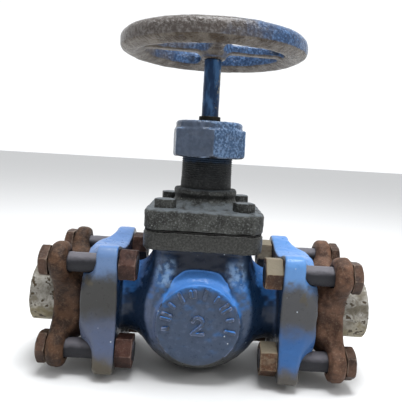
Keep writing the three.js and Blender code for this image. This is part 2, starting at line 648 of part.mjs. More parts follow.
/** Bush that the packing nut presses down on the packing rings. */
function makeGlandFollower(inner, outer, low) {
  const flangeTop = NUT_ROOF_LOW - FACE_GAP;
  const flangeLow = flangeTop - FOLLOWER_FLANGE_HEIGHT;
  const lipTop = NUT_TOP + FOLLOWER_LIP_OUTSTAND;
  const follower = turned([
    [inner, low], [outer, low], [outer, flangeLow], [FOLLOWER_FLANGE_RADIUS, flangeLow],
    [FOLLOWER_FLANGE_RADIUS, flangeTop], [FOLLOWER_LIP_RADIUS, flangeTop],
    [FOLLOWER_LIP_RADIUS, lipTop], [inner, lipTop], [inner, low],
  ], COARSE);
  return meshOf("gland_follower", follower, BRONZE);
}

function makePackingNut() {
  const hexTop = NUT_LOW + PACKING_NUT_HEX_HEIGHT;
  const hex = hexWithChamfer(PACKING_NUT_HEX_WIDTH, NUT_LOW, hexTop, PACKING_NUT_TURN, true, false);
  const topLow = hexTop - OVERCUT;
  const top = turned([
    [0, topLow], [PACKING_NUT_TOP_RADIUS, topLow], [PACKING_NUT_TOP_RADIUS, NUT_TOP - EDGE_BREAK],
    [PACKING_NUT_TOP_RADIUS - EDGE_BREAK, NUT_TOP], [0, NUT_TOP],
  ]);
  const thread = drum(TOWER_RADIUS + RUNNING_GAP, NUT_LOW - OVERCUT, NUT_ROOF_LOW);
  const lipRadius = FOLLOWER_LIP_RADIUS + RUNNING_GAP;
  const roofHole = drum(lipRadius, NUT_ROOF_LOW - OVERCUT, NUT_TOP + OVERCUT, COARSE);
  return meshOf("packing_nut", cut(unite(hex, top), thread, roofHole), BLUE_PAINT);
}

// ---------------------------------------------------------------- handwheel
function ellipseProfile(centreRadius, halfWidth, halfHeight, count) {
  const profile = [];
  for (let step = 0; step <= count; step++) {
    const angle = -2 * Math.PI * (step % count) / count;
    profile.push([centreRadius + halfWidth * Math.cos(angle), halfHeight * Math.sin(angle)]);
  }
  return profile;
}

function wheelSpoke(number) {
  const start = HUB_RADIUS / 2;
  const arm = new THREE.CylinderGeometry(1, 1, WHEEL_RIM_RADIUS - start, SPOKE_SIDES);
  arm.applyMatrix4(rotateX).applyMatrix4(rotateY);
  arm.scale(1, SPOKE_HALF_WIDTH, SPOKE_HALF_HEIGHT);
  arm.translate((WHEEL_RIM_RADIUS + start) / 2, 0, 0);
  const angle = SPOKE_TURN + 360 * number / SPOKE_COUNT;
  return solidOf(arm).rotate([0, 0, angle]).translate([0, 0, WHEEL_HEIGHT]);
}

function makeHandwheel() {
  const section = ellipseProfile(WHEEL_RIM_RADIUS, RIM_HALF_WIDTH, RIM_HALF_HEIGHT, RIM_SIDES);
  const rim = turned(section, FINE).translate([0, 0, WHEEL_HEIGHT]);
  const endRadius = HUB_RADIUS - EDGE_BREAK;
  const hub = turned([
    [0, HUB_LOW], [endRadius, HUB_LOW], [HUB_RADIUS, HUB_LOW + 2 * EDGE_BREAK],
    [HUB_RADIUS, HUB_TOP - 2 * EDGE_BREAK], [endRadius, HUB_TOP], [0, HUB_TOP],
  ], COARSE);
  const spokes = [];
  for (let number = 0; number < SPOKE_COUNT; number++) spokes.push(wheelSpoke(number));
  const socketWidth = SQUARE_DRIVE_WIDTH + 2 * RUNNING_GAP;
  const socket = squareBar(socketWidth, HUB_LOW + RUNNING_GAP, HUB_TOP + OVERCUT);
  const holeRadius = STEM_RADIUS + RUNNING_GAP;
  const stemHole = drum(holeRadius, HUB_LOW - OVERCUT, HUB_LOW + OVERCUT, COARSE);
  const wheel = cut(unite(rim, hub, ...spokes), socket, stemHole);
  return meshOf("handwheel", wheel, BLUE_PAINT);
}

function makeWheelFasteners() {
  const inner = STEM_TIP_RADIUS + RUNNING_GAP;
  const washerLow = HUB_TOP + FACE_GAP;
  const nutLow = HUB_TOP + 2 * FACE_GAP + WHEEL_WASHER_THICKNESS;
  const nutTop = nutLow + WHEEL_NUT_HEIGHT;
  const washerTop = washerLow + WHEEL_WASHER_THICKNESS;
  const washer = tube(inner, WHEEL_WASHER_RADIUS, washerLow, washerTop, COARSE);
  const hex = hexWithChamfer(WHEEL_NUT_HEX_WIDTH, nutLow, nutTop, 0, false, true);
  const nut = cut(hex, drum(inner, nutLow - OVERCUT, nutTop + OVERCUT, COARSE));
  return [meshOf("wheel_washer", washer, BRIGHT_STEEL), meshOf("wheel_nut", nut, BLUE_PAINT)];
}

// ---------------------------------------------------------------- line flanges, pipe stubs and bolts
/** All the pieces bolted to one end of the body, built about +Z and laid along +X or -X. */
function endPieces(side) {
  const placed = (solid) => {
    const laid = alongX(solid);
    return side === "outlet" ? laid : laid.rotate([0, 0, 180]);
  };
  const pieces = [
    meshOf(`flange_gasket_${side}`, placed(flangeGasket()), FIBRE),
    meshOf(`companion_flange_${side}`, placed(companionFlange()), RUSTY_FORGING),
    meshOf(`pipe_stub_${side}`, placed(pipeStub()), GALVANISED),
  ];
  atFourCorners((a, b, number) => {
    const place = [a * BOLT_HALF_PITCH, b * BOLT_HALF_PITCH, 0];
    const turn = WRENCH_TURNS[number - 1];
    const bolt = placed(flangeBolt(turn + BOLT_HEAD_TURN).translate(place));
    const nut = placed(flangeNut(turn).translate(place));
    pieces.push(meshOf(`flange_bolt_${side}_${number}`, bolt, RUSTY_BOLT));
    pieces.push(meshOf(`flange_nut_${side}_${number}`, nut, RUSTY_BOLT));
  });
  return pieces;
}

function flangeGasket() {
  const low = JOINT_FACE_X + FACE_GAP;
  const inner = PORT_RADIUS + GASKET_SETBACK;
  return tube(inner, COMPANION_WAIST - GASKET_SETBACK, low, low + FLANGE_GASKET_THICKNESS);
}

function companionFlange() {
  const slab = extruded(companionOutline(), COMPANION_FACE_X, COMPANION_OUTER_X);
  const wide = FLANGE_HALF * Math.SQRT2;
  const hubRoot = COMPANION_HUB_FACE_RADIUS + COMPANION_EAR_X - COMPANION_FACE_X;
  const thickness = turned([
    [0, COMPANION_FACE_X], [COMPANION_HUB_FACE_RADIUS, COMPANION_FACE_X],
    [hubRoot, COMPANION_EAR_X], [wide, COMPANION_EAR_X], [wide, COMPANION_OUTER_X],
    [0, COMPANION_OUTER_X],
  ]);
  const low = COMPANION_FACE_X - OVERCUT;
  const high = COMPANION_OUTER_X + OVERCUT;
  const holes = boltHoles(BOLT_RADIUS + HOLE_CLEARANCE, low, high);
  const lipHole = drum(STUB_BORE_RADIUS, low, high);
  const socket = drum(PIPE_OUTER_RADIUS + RUNNING_GAP, COMPANION_FACE_X + SOCKET_LIP, high);
  return cut(slab.intersect(thickness), lipHole, socket, ...holes);
}

function pipeStub() {
  return tube(STUB_BORE_RADIUS, PIPE_OUTER_RADIUS, STUB_INNER_X, STUB_END_X);
}

/** Bolt with its head outside the companion flange and its plain end just through the nut. */
function flangeBolt(turn) {
  const headLow = COMPANION_OUTER_X + FACE_GAP;
  const end = FLANGE_BACK_X - FACE_GAP - BOLT_NUT_HEIGHT - BOLT_OUTSTAND;
  const head = hexWithChamfer(BOLT_HEX_WIDTH, headLow, headLow + BOLT_HEAD_HEIGHT, turn, false, true);
  return unite(head, drum(BOLT_RADIUS, end, headLow + OVERCUT, COARSE));
}

function flangeNut(turn) {
  const high = FLANGE_BACK_X - FACE_GAP;
  const low = high - BOLT_NUT_HEIGHT;
  const hex = hexBar(BOLT_HEX_WIDTH, low, high, turn);
  return cut(hex, drum(BOLT_RADIUS + RUNNING_GAP, low - OVERCUT, high + OVERCUT, COARSE));
}

// ---------------------------------------------------------------- assembly
function discGroup() {
  const group = new THREE.Group();
  group.add(makeDisc(), makeDiscInsert(), makeDiscNut());
  return group;
}

function stemGroup() {
  const group = new THREE.Group();
  group.add(makeStem(), makeHandwheel(), ...makeWheelFasteners());
  return group;
}

function bonnetGroup() {
  const group = new THREE.Group();
  group.add(makeBonnetGasket(), makeBonnet(), ...atFourCorners(makeBonnetScrew));
  group.add(...makePacking(), makePackingNut());
  return group;
}

const valve = new THREE.Group();
valve.name = "globe_valve";
const raised = axisGroup();
raised.add(makeBody(), makeSeatRing(), bonnetGroup(), discGroup(), stemGroup());
raised.add(...endPieces("inlet"), ...endPieces("outlet"));
valve.add(raised);

export default valve;
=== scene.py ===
import functools
import itertools
import math

import bpy
import numpy as np
from mathutils import Matrix, Vector


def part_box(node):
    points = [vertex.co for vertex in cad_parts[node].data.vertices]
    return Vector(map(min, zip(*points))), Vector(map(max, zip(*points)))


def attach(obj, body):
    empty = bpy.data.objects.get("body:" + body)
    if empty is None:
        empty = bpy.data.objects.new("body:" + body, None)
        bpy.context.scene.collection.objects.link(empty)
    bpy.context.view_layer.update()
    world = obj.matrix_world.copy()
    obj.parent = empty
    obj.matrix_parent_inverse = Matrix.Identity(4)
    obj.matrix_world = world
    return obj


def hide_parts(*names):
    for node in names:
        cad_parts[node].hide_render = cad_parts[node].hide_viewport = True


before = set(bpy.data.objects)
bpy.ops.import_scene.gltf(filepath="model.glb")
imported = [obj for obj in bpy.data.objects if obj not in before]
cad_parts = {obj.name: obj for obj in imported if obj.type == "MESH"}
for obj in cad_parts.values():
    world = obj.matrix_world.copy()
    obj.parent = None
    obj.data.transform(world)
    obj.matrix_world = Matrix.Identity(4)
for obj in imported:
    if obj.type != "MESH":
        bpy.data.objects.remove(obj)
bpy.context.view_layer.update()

# ---- sizes, in millimetres
# Shapes are worked out round the pipe axis: x along the pipe, y across it, z above it.
MM = 0.001
AXIS_Z = sum((corner / MM).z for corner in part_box("pipe_stub_outlet")) / 2


def cad_box(node):
    """Lowest and highest corner of a CAD node, in millimetres from the pipe axis."""
    lift = Vector((0, 0, AXIS_Z))
    return [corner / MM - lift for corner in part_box(node)]


stub_low, stub_high = cad_box("pipe_stub_outlet")
body_low, body_high = cad_box("body")
bonnet_low, bonnet_high = cad_box("bonnet")
companion_low, companion_high = cad_box("companion_flange_outlet")
nut_low, nut_high = cad_box("flange_nut_outlet_1")
bolt_low, bolt_high = cad_box("flange_bolt_outlet_1")
screw_low, screw_high = cad_box("bonnet_screw_1")
packing_low, packing_high = cad_box("packing_nut")
gland_low, gland_high = cad_box("gland_follower")
wheel_low, wheel_high = cad_box("handwheel")
stem_low, stem_high = cad_box("stem")
wheel_nut_low, wheel_nut_high = cad_box("wheel_nut")

# Gap of a close fit, and gap round a bolt in its hole.
FIT = 0.35
HOLE_GAP = 0.8
SLANT = 0.707

PIPE_RADIUS = (stub_high.y - stub_low.y) / 2
PIPE_WALL = 3.9
PORT_RADIUS = 26
PORT_START = 54
JOINT_FACE = body_high.x
FLANGE_HALF = body_high.y
FLANGE_BACK = JOINT_FACE - 35.7
FLANGE_EAR_FACE = FLANGE_BACK + 20
FLANGE_DIP = 9.5
FLANGE_CORNER = 10
FLANGE_TIP = 20
HUB_FACE_RADIUS = 54
HUB_ROOT_RADIUS = 66
BOLT_PITCH = 42.65
BOLT_RADIUS = 9.52
BOLT_HEX = 28.6
BOLT_HEAD_HEIGHT = 11
BOLT_HEAD_TURN = 6
BOLT_REACH = 17
WRENCH_TURNS = [0, 11, -8, 18]
CORNERS = [(1, 1), (-1, 1), (-1, -1), (1, -1)]

FOOT = body_low.z
GLOBE_RADIUS = 70
GLOBE_FLAT = 54
BOSS_FACE = 58.5
BOSS_RADIUS = 40
BOSS_DROP = 8
TICK_RADIUS = 31
MARK_HALF = 1.7
MARK_HEIGHT = 2.2
GLOBE_WALL = 10
BOSS_WALL = 8
BARREL_RADIUS = 35.6
NECK_HALF_X = 49
NECK_HALF_Y = 50
NECK_CORNER = 20
BODY_TOP = body_high.z
TOP_FLANGE_LOW = BODY_TOP - 17.6
PLATE_HALF = bonnet_high.x
PLATE_CORNER = 17
PLATE_LOW = bonnet_low.z + 6
PLATE_TOP = PLATE_LOW + 19
POCKET_HALF = 42
POCKET_FLAT = 15
POCKET_FLOOR = 41
SEAT_HOLE = 33.35
SEAT_WALL_MIDDLE = -1.5
SEAT_WALL_HALF = 4.5
NECK_BORE = 34

COLLAR_RADIUS = 31.4
COLLAR_TOP = PLATE_TOP + 18
TOWER_RADIUS = 26.1
TOWER_TOP = bonnet_high.z
TOWER_PITCH = 2.1
TOWER_THREAD = 0.9
WAIST_RADIUS = 28.5
SPIGOT_RADIUS = 33.65
STUFFING_RADIUS = 15.5
STUFFING_FLOOR = PLATE_LOW + 47
CHAMBER_RADIUS = 26
SCREW_PITCH = 38
SCREW_HEX = 19.05
SCREW_RADIUS = 6.35
SCREW_PAD_RADIUS = 13
SCREW_HEAD_HEIGHT = 8
SCREW_EXTRA = 1.2
SCREW_REACH = 12

PACKING_HEX = 69.85
PACKING_TURN = 7
PACKING_HEX_TOP = packing_low.z + 28.5
PACKING_TOP_RADIUS = 34.2
PACKING_TOP = packing_high.z - 4
PACKING_HOLE = 11.55
PACKING_CHAMFER = 36.6
GLAND_LIP_RADIUS = 11.2
GLAND_FLANGE_RADIUS = 21
GLAND_BUSH_RADIUS = 15.15

COMPANION_WAIST = 38
COMPANION_EAR = 19
COMPANION_EAR_LOW = companion_high.x - 17
COMPANION_HUB_FACE = 41

WHEEL_Z = wheel_low.z + 11.5
RIM_RADIUS = 82.4
RIM_WIDTH = 12
RIM_HEIGHT = 11.3
SPOKES = 4
SPOKE_TURN = 8
HUB_RADIUS = 16
STEM_RADIUS = 8.7
STEM_CLEARANCE_RADIUS = 9.05
BUTTON_RADIUS = 12.5
BUTTON_HEIGHT = 5
THREAD_RADIUS = 11
THREAD_PITCH = 4
THREAD_DEPTH = 0.8
THREAD_LENGTH = 56
TIP_RADIUS = 5.5
DRIVE_HALF = 6.2
WHEEL_HEX = 17.5
SPOKE_MIDDLE = 44
SPOKE_HALF = 38

EDGE_REACH = 1.6
EDGE_BEND = 1.2
CRANNY_DEPTHS = (8, 26)
LATTICE_PRIMES = (374761393, 668265263, 1274126177, 974634777)

WORLD_DIM = 0.3
WORLD_BRIGHT = 1.1


# ---- distance fields
def hypot(a, b):
    return np.sqrt(a * a + b * b)


def corner_between(side, end, edge):
    """Where two distances meet at a corner of that radius."""
    return hypot(np.maximum(side, 0), np.maximum(end, 0)) + np.minimum(np.maximum(side, end), 0) - edge


def rectangle(x, y, half_x, half_y, corner):
    """Distance to a rectangle with round corners."""
    return corner_between(np.abs(x) - half_x + corner, np.abs(y) - half_y + corner, corner)


def slab(outline, along, low, high, edge):
    """An outline pushed from low to high, with its edges rounded."""
    return corner_between(outline + edge, np.abs(along - (low + high) / 2) - (high - low) / 2 + edge, edge)


def union(*shapes):
    return functools.reduce(np.minimum, shapes)


def join(a, b, blend):
    """Both shapes, with a fillet of about that radius between them."""
    share = np.clip(0.5 + 0.5 * (b - a) / blend, 0, 1)
    return b * (1 - share) + a * share - blend * share * (1 - share)


def meet(a, b, blend):
    """Only what both shapes share, its edge rounded by about that radius."""
    return -join(-a, -b, blend)


def carve(a, b, blend):
    """The first shape with the second cut out of it."""
    return meet(a, -b, blend)


def ball(x, y, along, crown, radius):
    """Distance to a ball on an axis, given how far along it the ball's crown is."""
    return np.sqrt(x * x + y * y + (along - crown + radius) ** 2) - radius


def segment(x, z, start, end):
    """Distance to a straight segment in a plane."""
    run = (end[0] - start[0], end[1] - start[1])
    share = ((x - start[0]) * run[0] + (z - start[1]) * run[1]) / (run[0] ** 2 + run[1] ** 2)
    share = np.clip(share, 0, 1)
    return hypot(x - start[0] - share * run[0], z - start[1] - share * run[1])


def hexagon(x, y, across_flats, turn):
    """Distance to a hexagon with two flats facing +-y before it is turned, in degrees."""
    angles = [math.radians(90 + turn + 60 * k) for k in range(3)]
    sides = [np.abs(x * math.cos(a) + y * math.sin(a)) for a in angles]
    return functools.reduce(np.maximum, sides) - across_flats / 2


def from_corner(a, b, pitch):
    """Distance from the nearest of the four corners of a bolt square."""
    return hypot(np.abs(a) - pitch, np.abs(b) - pitch)


# ---- noise
def lattice(ix, iy, iz, seed):
    """A fixed random number from 0 to 1 for each whole-numbered place."""
    mixed = sum(part * prime for part, prime in zip((ix, iy, iz, seed), LATTICE_PRIMES))
    mixed = mixed.astype(np.uint32)
    mixed = (mixed ^ (mixed >> np.uint32(13))) * np.uint32(LATTICE_PRIMES[2])
    mixed = mixed ^ (mixed >> np.uint32(16))
    return (mixed & np.uint32(0xFFFF)).astype(np.float64) / 65535


def value_noise(points, size, seed):
    """Smooth noise from -1 to 1 whose lumps are about size across."""
    scaled = points / size
    cell = np.floor(scaled).astype(np.int64)
    part = scaled - cell
    part = part * part * (3 - 2 * part)
    total = 0
    for corner in itertools.product((0, 1), repeat=3):
        weight = 1
        for axis in range(3):
            weight = weight * (part[:, axis] if corner[axis] else 1 - part[:, axis])
        where = cell + np.array(corner)
        total = total + weight * lattice(where[:, 0], where[:, 1], where[:, 2], seed)
    return 2 * total - 1


def layered_noise(points, sizes, seed):
    """Several layers of noise, each as strong as its size."""
    total = sum(size * value_noise(points, size, seed + k) for k, size in enumerate(sizes))
    return total / sum(sizes)


# ---- mesh making
def surface_net(field, low, high, cell):
    """Vertices and quads of a field's zero surface, from a grid."""
    axes = [np.arange(low[k] - 2 * cell, high[k] + 3 * cell, cell) for k in range(3)]
    x, y, z = np.meshgrid(*axes, indexing="ij", sparse=True)
    values = np.broadcast_to(field(x, y, z), [len(a) for a in axes]).astype(np.float32)
    shape = [n - 1 for n in values.shape]
    corners = list(itertools.product((0, 1), repeat=3))

    def part(corner):
        return values[tuple(slice(c, c + n) for c, n in zip(corner, shape))]

    inside = sum((part(c) < 0).astype(np.int8) for c in corners)
    active = np.argwhere((inside > 0) & (inside < 8))
    sample = np.stack([values[tuple((active + np.array(c)).T)] for c in corners], axis=1)
    places = np.zeros((len(active), 3))
    hits = np.zeros(len(active))
    for a, b in itertools.combinations(range(8), 2):
        if sum(abs(p - q) for p, q in zip(corners[a], corners[b])) != 1:
            continue
        crosses = (sample[:, a] < 0) != (sample[:, b] < 0)
        share = sample[:, a] / np.where(crosses, sample[:, a] - sample[:, b], 1)
        start, end = np.array(corners[a], float), np.array(corners[b], float)
        places += np.where(crosses[:, None], start + share[:, None] * (end - start), 0)
        hits += crosses
    vertices = np.array([a[0] for a in axes]) + (active + places / hits[:, None]) * cell
    number = np.full(shape, -1, np.int64)
    number[tuple(active.T)] = np.arange(len(active))
    return vertices, net_quads(values, number)


def net_quads(values, number):
    """One quad round each grid edge that crosses the surface, facing outward."""
    quads = []
    for axis in range(3):
        ahead = [slice(0, -1) if k == axis else slice(None) for k in range(3)]
        after = [slice(1, None) if k == axis else slice(None) for k in range(3)]
        enters = values[tuple(ahead)] < 0
        crossing = np.argwhere(enters != (values[tuple(after)] < 0))
        u, v = [k for k in range(3) if k != axis]
        step_u, step_v = np.eye(3, dtype=int)[u], np.eye(3, dtype=int)[v]
        ring = [crossing - step_u - step_v, crossing - step_v, crossing, crossing - step_u]
        quad = np.stack([number[tuple(r.T)] for r in ring], axis=1)
        outward = enters[tuple(crossing.T)] == (axis != 1)
        quads.append(np.where(outward[:, None], quad, quad[:, ::-1]))
    return np.concatenate(quads)


def field_at(field, points):
    return field(points[:, 0], points[:, 1], points[:, 2])


def gradient(field, points, step=0.2):
    """Unit normals of the field at each point."""
    slopes = [field_at(field, points + shift) - field_at(field, points - shift) for shift in step * np.eye(3)]
    slopes = np.stack(slopes, axis=1)
    return slopes / np.maximum(np.linalg.norm(slopes, axis=1), 1e-9)[:, None]


def snap_to_surface(field, points, cell):
    """Moves vertices onto the field's zero surface."""
    for _ in range(2):
        distance = np.clip(field_at(field, points), -cell / 2, cell / 2)
        points = points - gradient(field, points) * distance[:, None]
    return points


def edge_and_cranny(field, points, normals):
    """How far each vertex lies on an outer edge and in a cranny, both from 0 to 1."""
    bend = 0
    for shift in EDGE_REACH * np.eye(3):
        bend = bend + field_at(field, points + shift) + field_at(field, points - shift)
    edge = np.clip(bend / EDGE_REACH / EDGE_BEND, 0, 1)
    # The materials darken by this cranny value as painted shade in hollows and between parts.
    shut = [1 - field_at(field, points + normals * depth) / depth for depth in CRANNY_DEPTHS]
    return edge, np.clip(np.maximum(shut[0], shut[1]), 0, 1)


def add_mesh(name, points, faces):
    """A smooth mesh from points in millimetres round the pipe axis."""
    mesh = bpy.data.meshes.new(name)
    places = (points + np.array([0, 0, AXIS_Z])) * MM
    mesh.vertices.add(len(places))
    mesh.vertices.foreach_set("co", places.astype(np.float32).ravel())
    mesh.loops.add(faces.size)
    mesh.loops.foreach_set("vertex_index", faces.astype(np.int32).ravel())
    mesh.polygons.add(len(faces))
    mesh.polygons.foreach_set("loop_start", np.arange(0, faces.size, faces.shape[1], dtype=np.int32))
    mesh.polygons.foreach_set("use_smooth", np.ones(len(faces), bool))
    mesh.update(calc_edges=True)
    mesh.validate()
    made = bpy.data.objects.new(name, mesh)
    bpy.context.scene.collection.objects.link(made)
    return made


def add_mask(obj, name, values):
    mask = obj.data.attributes.new(name, "FLOAT", "POINT")
    mask.data.foreach_set("value", np.asarray(values, np.float32))


def sculpt(name, field, box, cell, material, rough=0.0, rough_sizes=(6, 2.5), seed=1):
    """A piece made from a distance field, with cast roughness along its normals."""
    low, high = box
    points, faces = surface_net(field, low, high, cell)
    points = snap_to_surface(field, points, cell)
    normals = gradient(field, points)
    edge, cranny = edge_and_cranny(field, points, normals)
    relief = rough * layered_noise(points, rough_sizes, seed)
    points = points + normals * relief[:, None]
    made = add_mesh(name, points, faces)
    add_mask(made, "edge", edge)
    add_mask(made, "cranny", cranny)
    made.data.materials.append(material)
    return made


def place(obj, node=None, body="valve_body"):
    """Puts a piece on its body, in place of its CAD node if it has one."""
    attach(obj, body)
    if node:
        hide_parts(node)


def make_piece(name, slot, node, field, box, cell, material, body="valve_body", **skin):
    """A sculpted piece in its place; skin is its cast roughness and seed."""
    place(sculpt(name, field, box, cell, material, **skin), node, body)


# ---- materials
class Tree:
    """Short calls for building a node tree, the world's or a material's."""

    def __init__(self, tree):
        self.tree = tree

    def add(self, kind, **settings):
        node = self.tree.nodes.new(kind)
        for key, value in settings.items():
            setattr(node, key, value)
        return node

    def link(self, source, target):
        self.tree.links.new(source, target)

    def feed(self, socket, value):
        if isinstance(value, bpy.types.NodeSocket):
            self.link(value, socket)
        elif isinstance(value, tuple):
            socket.default_value = (*value, 1)
        else:
            socket.default_value = value

    def math(self, operation, a, b=0.0):
        node = self.add("ShaderNodeMath", operation=operation)
        self.feed(node.inputs[0], a)
        self.feed(node.inputs[1], b)
        return node.outputs[0]

    def plus(self, a, b):
        return self.math("ADD", a, b)

    def minus(self, a, b):
        return self.math("SUBTRACT", a, b)

    def times(self, *values):
        return functools.reduce(lambda a, b: self.math("MULTIPLY", a, b), values)

    def scaled(self, value, gain, base):
        return self.plus(self.times(value, gain), base)

    def ramp(self, value, low, high, start, end, kind):
        """start at low and end at high, clamped."""
        node = self.add("ShaderNodeMapRange", interpolation_type=kind)
        self.feed(node.inputs["Value"], value)
        settings = {"From Min": low, "From Max": high, "To Min": start, "To Max": end}
        for key, setting in settings.items():
            node.inputs[key].default_value = setting
        return node.outputs[0]

    def span(self, value, low, high):
        """0 at low, 1 at high, clamped, smooth; low may be the greater of the two."""
        if low > high:
            return self.ramp(value, high, low, 1, 0, "SMOOTHSTEP")
        return self.ramp(value, low, high, 0, 1, "SMOOTHSTEP")

    def mix(self, share, a, b):
        node = self.add("ShaderNodeMix", data_type="RGBA")
        self.feed(node.inputs["Factor"], share)
        self.feed(node.inputs[6], a)
        self.feed(node.inputs[7], b)
        return node.outputs[2]


class Nodes(Tree):
    """One material's node tree."""

    def __init__(self, name):
        self.material = bpy.data.materials.new(name)
        self.material.use_nodes = True
        super().__init__(self.material.node_tree)
        self.tree.nodes.clear()
        self.shader = self.add("ShaderNodeBsdfPrincipled")
        output = self.add("ShaderNodeOutputMaterial")
        self.link(self.shader.outputs[0], output.inputs[0])
        self.place = self.add("ShaderNodeTexCoord").outputs["Object"]
        self.bumps = None

    def noise(self, size, detail=3, roughness=0.55, distortion=0, stretch=(1, 1, 1)):
        """Noise whose lumps are about size millimetres across."""
        mapping = self.add("ShaderNodeMapping")
        mapping.inputs["Scale"].default_value = stretch
        self.link(self.place, mapping.inputs["Vector"])
        node = self.add("ShaderNodeTexNoise")
        self.link(mapping.outputs[0], node.inputs["Vector"])
        node.inputs["Scale"].default_value = 1 / (size * MM)
        node.inputs["Detail"].default_value = detail
        node.inputs["Roughness"].default_value = roughness
        node.inputs["Distortion"].default_value = distortion
        return node.outputs[0]

    def cells(self, size):
        """Distance from the nearest of many scattered points, about size millimetres apart."""
        node = self.add("ShaderNodeTexVoronoi", feature="F1")
        self.link(self.place, node.inputs["Vector"])
        node.inputs["Scale"].default_value = 1 / (size * MM)
        return node.outputs["Distance"]

    def lay(self, colour, target, strength, *shares):
        """The colour turned towards target, as far as the strength and every share let it."""
        return self.mix(self.times(*shares, strength), colour, target)

    def mask(self, name):
        """A value from 0 to 1 that the mesh carries, edge or cranny."""
        return self.add("ShaderNodeAttribute", attribute_name=name).outputs["Fac"]

    def facing(self, axis):
        """How far the surface faces up (2) or along another axis, from -1 to 1."""
        split = self.add("ShaderNodeSeparateXYZ")
        self.link(self.add("ShaderNodeNewGeometry").outputs["Normal"], split.inputs[0])
        return split.outputs[axis]

    def height(self, axis=2):
        """Millimetres along an axis, measured from the pipe axis for z."""
        split = self.add("ShaderNodeSeparateXYZ")
        self.link(self.place, split.inputs[0])
        scaled = self.math("MULTIPLY", split.outputs[axis], 1 / MM)
        return self.math("SUBTRACT", scaled, AXIS_Z) if axis == 2 else scaled

    def bump(self, height, depth):
        """Adds relief of that depth, in millimetres, or in metres when it comes from a node."""
        node = self.add("ShaderNodeBump")
        node.inputs["Strength"].default_value = 1
        if isinstance(depth, bpy.types.NodeSocket):
            self.link(depth, node.inputs["Distance"])
        else:
            node.inputs["Distance"].default_value = depth * MM
        self.link(height, node.inputs["Height"])
        if self.bumps is not None:
            self.link(self.bumps, node.inputs["Normal"])
        self.bumps = node.outputs[0]

    def finish(self, colour, roughness, metallic=0.0, specular=0.18, coat=0.0, coat_roughness=0.1):
        self.feed(self.shader.inputs["Base Color"], colour)
        self.feed(self.shader.inputs["Roughness"], roughness)
        self.feed(self.shader.inputs["Metallic"], metallic)
        self.shader.inputs["Specular IOR Level"].default_value = specular
        self.shader.inputs["Coat Weight"].default_value = coat
        self.shader.inputs["Coat Roughness"].default_value = coat_roughness
        if self.bumps is not None:
            self.link(self.bumps, self.shader.inputs["Normal"])
        return self.material


def linear(red, green, blue):
    """A screen colour from 0 to 255 as the shader's linear colour."""
    return tuple(((v / 255 + 0.055) / 1.055) ** 2.4 for v in (red, green, blue))


TOP_LIT_BLUE = linear(72, 134, 212)
HALF_LIT_BLUE = linear(54, 92, 140)
BLUE_SHADE = linear(14, 32, 54)
SHADED_FRONT_SLATE = linear(58, 72, 94)
LAVENDER = linear(110, 122, 152)
GRIME_AND_UNDER_SHADE = linear(62, 61, 58)
OLIVE = linear(84, 76, 58)
SOOT_DARK = linear(44, 44, 42)
SOOT_PALE = linear(78, 79, 76)
RUST_DARK = linear(50, 36, 28)
RUST = linear(86, 62, 46)
RUST_PALE = linear(126, 104, 86)
CREAM = linear(140, 134, 108)
CHIP = linear(200, 208, 216)
POCKET_SHADOW_BLUE = linear(5, 20, 40)
LIT_BAND_BLUE = linear(88, 148, 228)
FILLET_HIGHLIGHT_BLUE = linear(150, 180, 214)
BELLY_GREY = linear(66, 66, 62)
SOOT_RELIEF = 0.8
NUT_RELIEF = 1.1


def paint_layers(n, cranny_depth=1.0):
    """Base colour of the brushed blue paint: painted light and shade from which way it faces, tone from its
    noise, and painted shade in its crannies.
    """
    broad = n.noise(40, 3)
    fine = n.noise(5, 4, 0.6)
    up = n.plus(n.facing(2), n.times(n.minus(broad, 0.5), 0.3))
    # Painted light and shade: the blue is lighter the more the paint faces up, and slate on faces that don't.
    colour = n.mix(n.span(up, 0.02, 0.22), SHADED_FRONT_SLATE, HALF_LIT_BLUE)
    colour = n.mix(n.span(up, 0.12, 0.5), colour, TOP_LIT_BLUE)
    # Painted light: faces that look towards -x are tinted lighter lavender.
    colour = n.lay(colour, LAVENDER, 0.6, n.span(n.facing(0), -0.25, -0.8))
    colour = n.lay(colour, LAVENDER, 0.22, n.span(fine, 0.52, 0.72))
    colour = n.lay(colour, BLUE_SHADE, 0.25, n.span(fine, 0.45, 0.3))
    # Painted shade: faces that look down are turned dark grey.
    colour = n.lay(colour, GRIME_AND_UNDER_SHADE, 0.9, n.span(up, -0.2, -0.75))
    # Painted shade: crannies are darkened to deep blue, less where they face up.
    open_top = n.minus(1.0, n.times(n.span(up, 0.2, 0.6), 0.6))
    shut = n.times(n.mask("cranny"), cranny_depth, open_top)
    colour = n.lay(colour, BLUE_SHADE, 0.92, n.span(shut, 0.16, 0.62))
    return colour, fine


def worn_and_specked(n, colour, fine):
    """Rubbed pale edges, partly wear and partly a painted highlight on the edges, and a few chips down to
    bare primer.
    """
    worn = n.times(n.mask("edge"), n.noise(9, 4))
    # Partly wear, partly painted highlight: edges turn pale lavender in some places and grey in others.
    rubbed = n.mix(n.span(fine, 0.42, 0.6), GRIME_AND_UNDER_SHADE, LAVENDER)
    colour = n.mix(n.span(worn, 0.34, 0.56), colour, rubbed)
    specks = n.times(n.span(n.cells(9), 0.085, 0.055), n.span(n.noise(24, 1), 0.5, 0.62))
    return n.mix(specks, colour, CHIP)


def paint_finish(n, colour, fine, wrinkle):
    n.bump(n.noise(3.2, 3, 0.6), wrinkle)
    n.bump(n.noise(14, 2), wrinkle * 1.6)
    return n.finish(colour, n.scaled(fine, 0.4, 0.12), coat=0.16, coat_roughness=0.12)


def blue_paint(name, wrinkle=0.25, cranny_depth=1.0):
    """Thick brushed paint with painted light: bright where it faces up, with painted shade slate in front and
    grey below.
    """
    n = Nodes(name)
    colour, fine = paint_layers(n, cranny_depth)
    return paint_finish(n, worn_and_specked(n, colour, fine), fine, wrinkle)


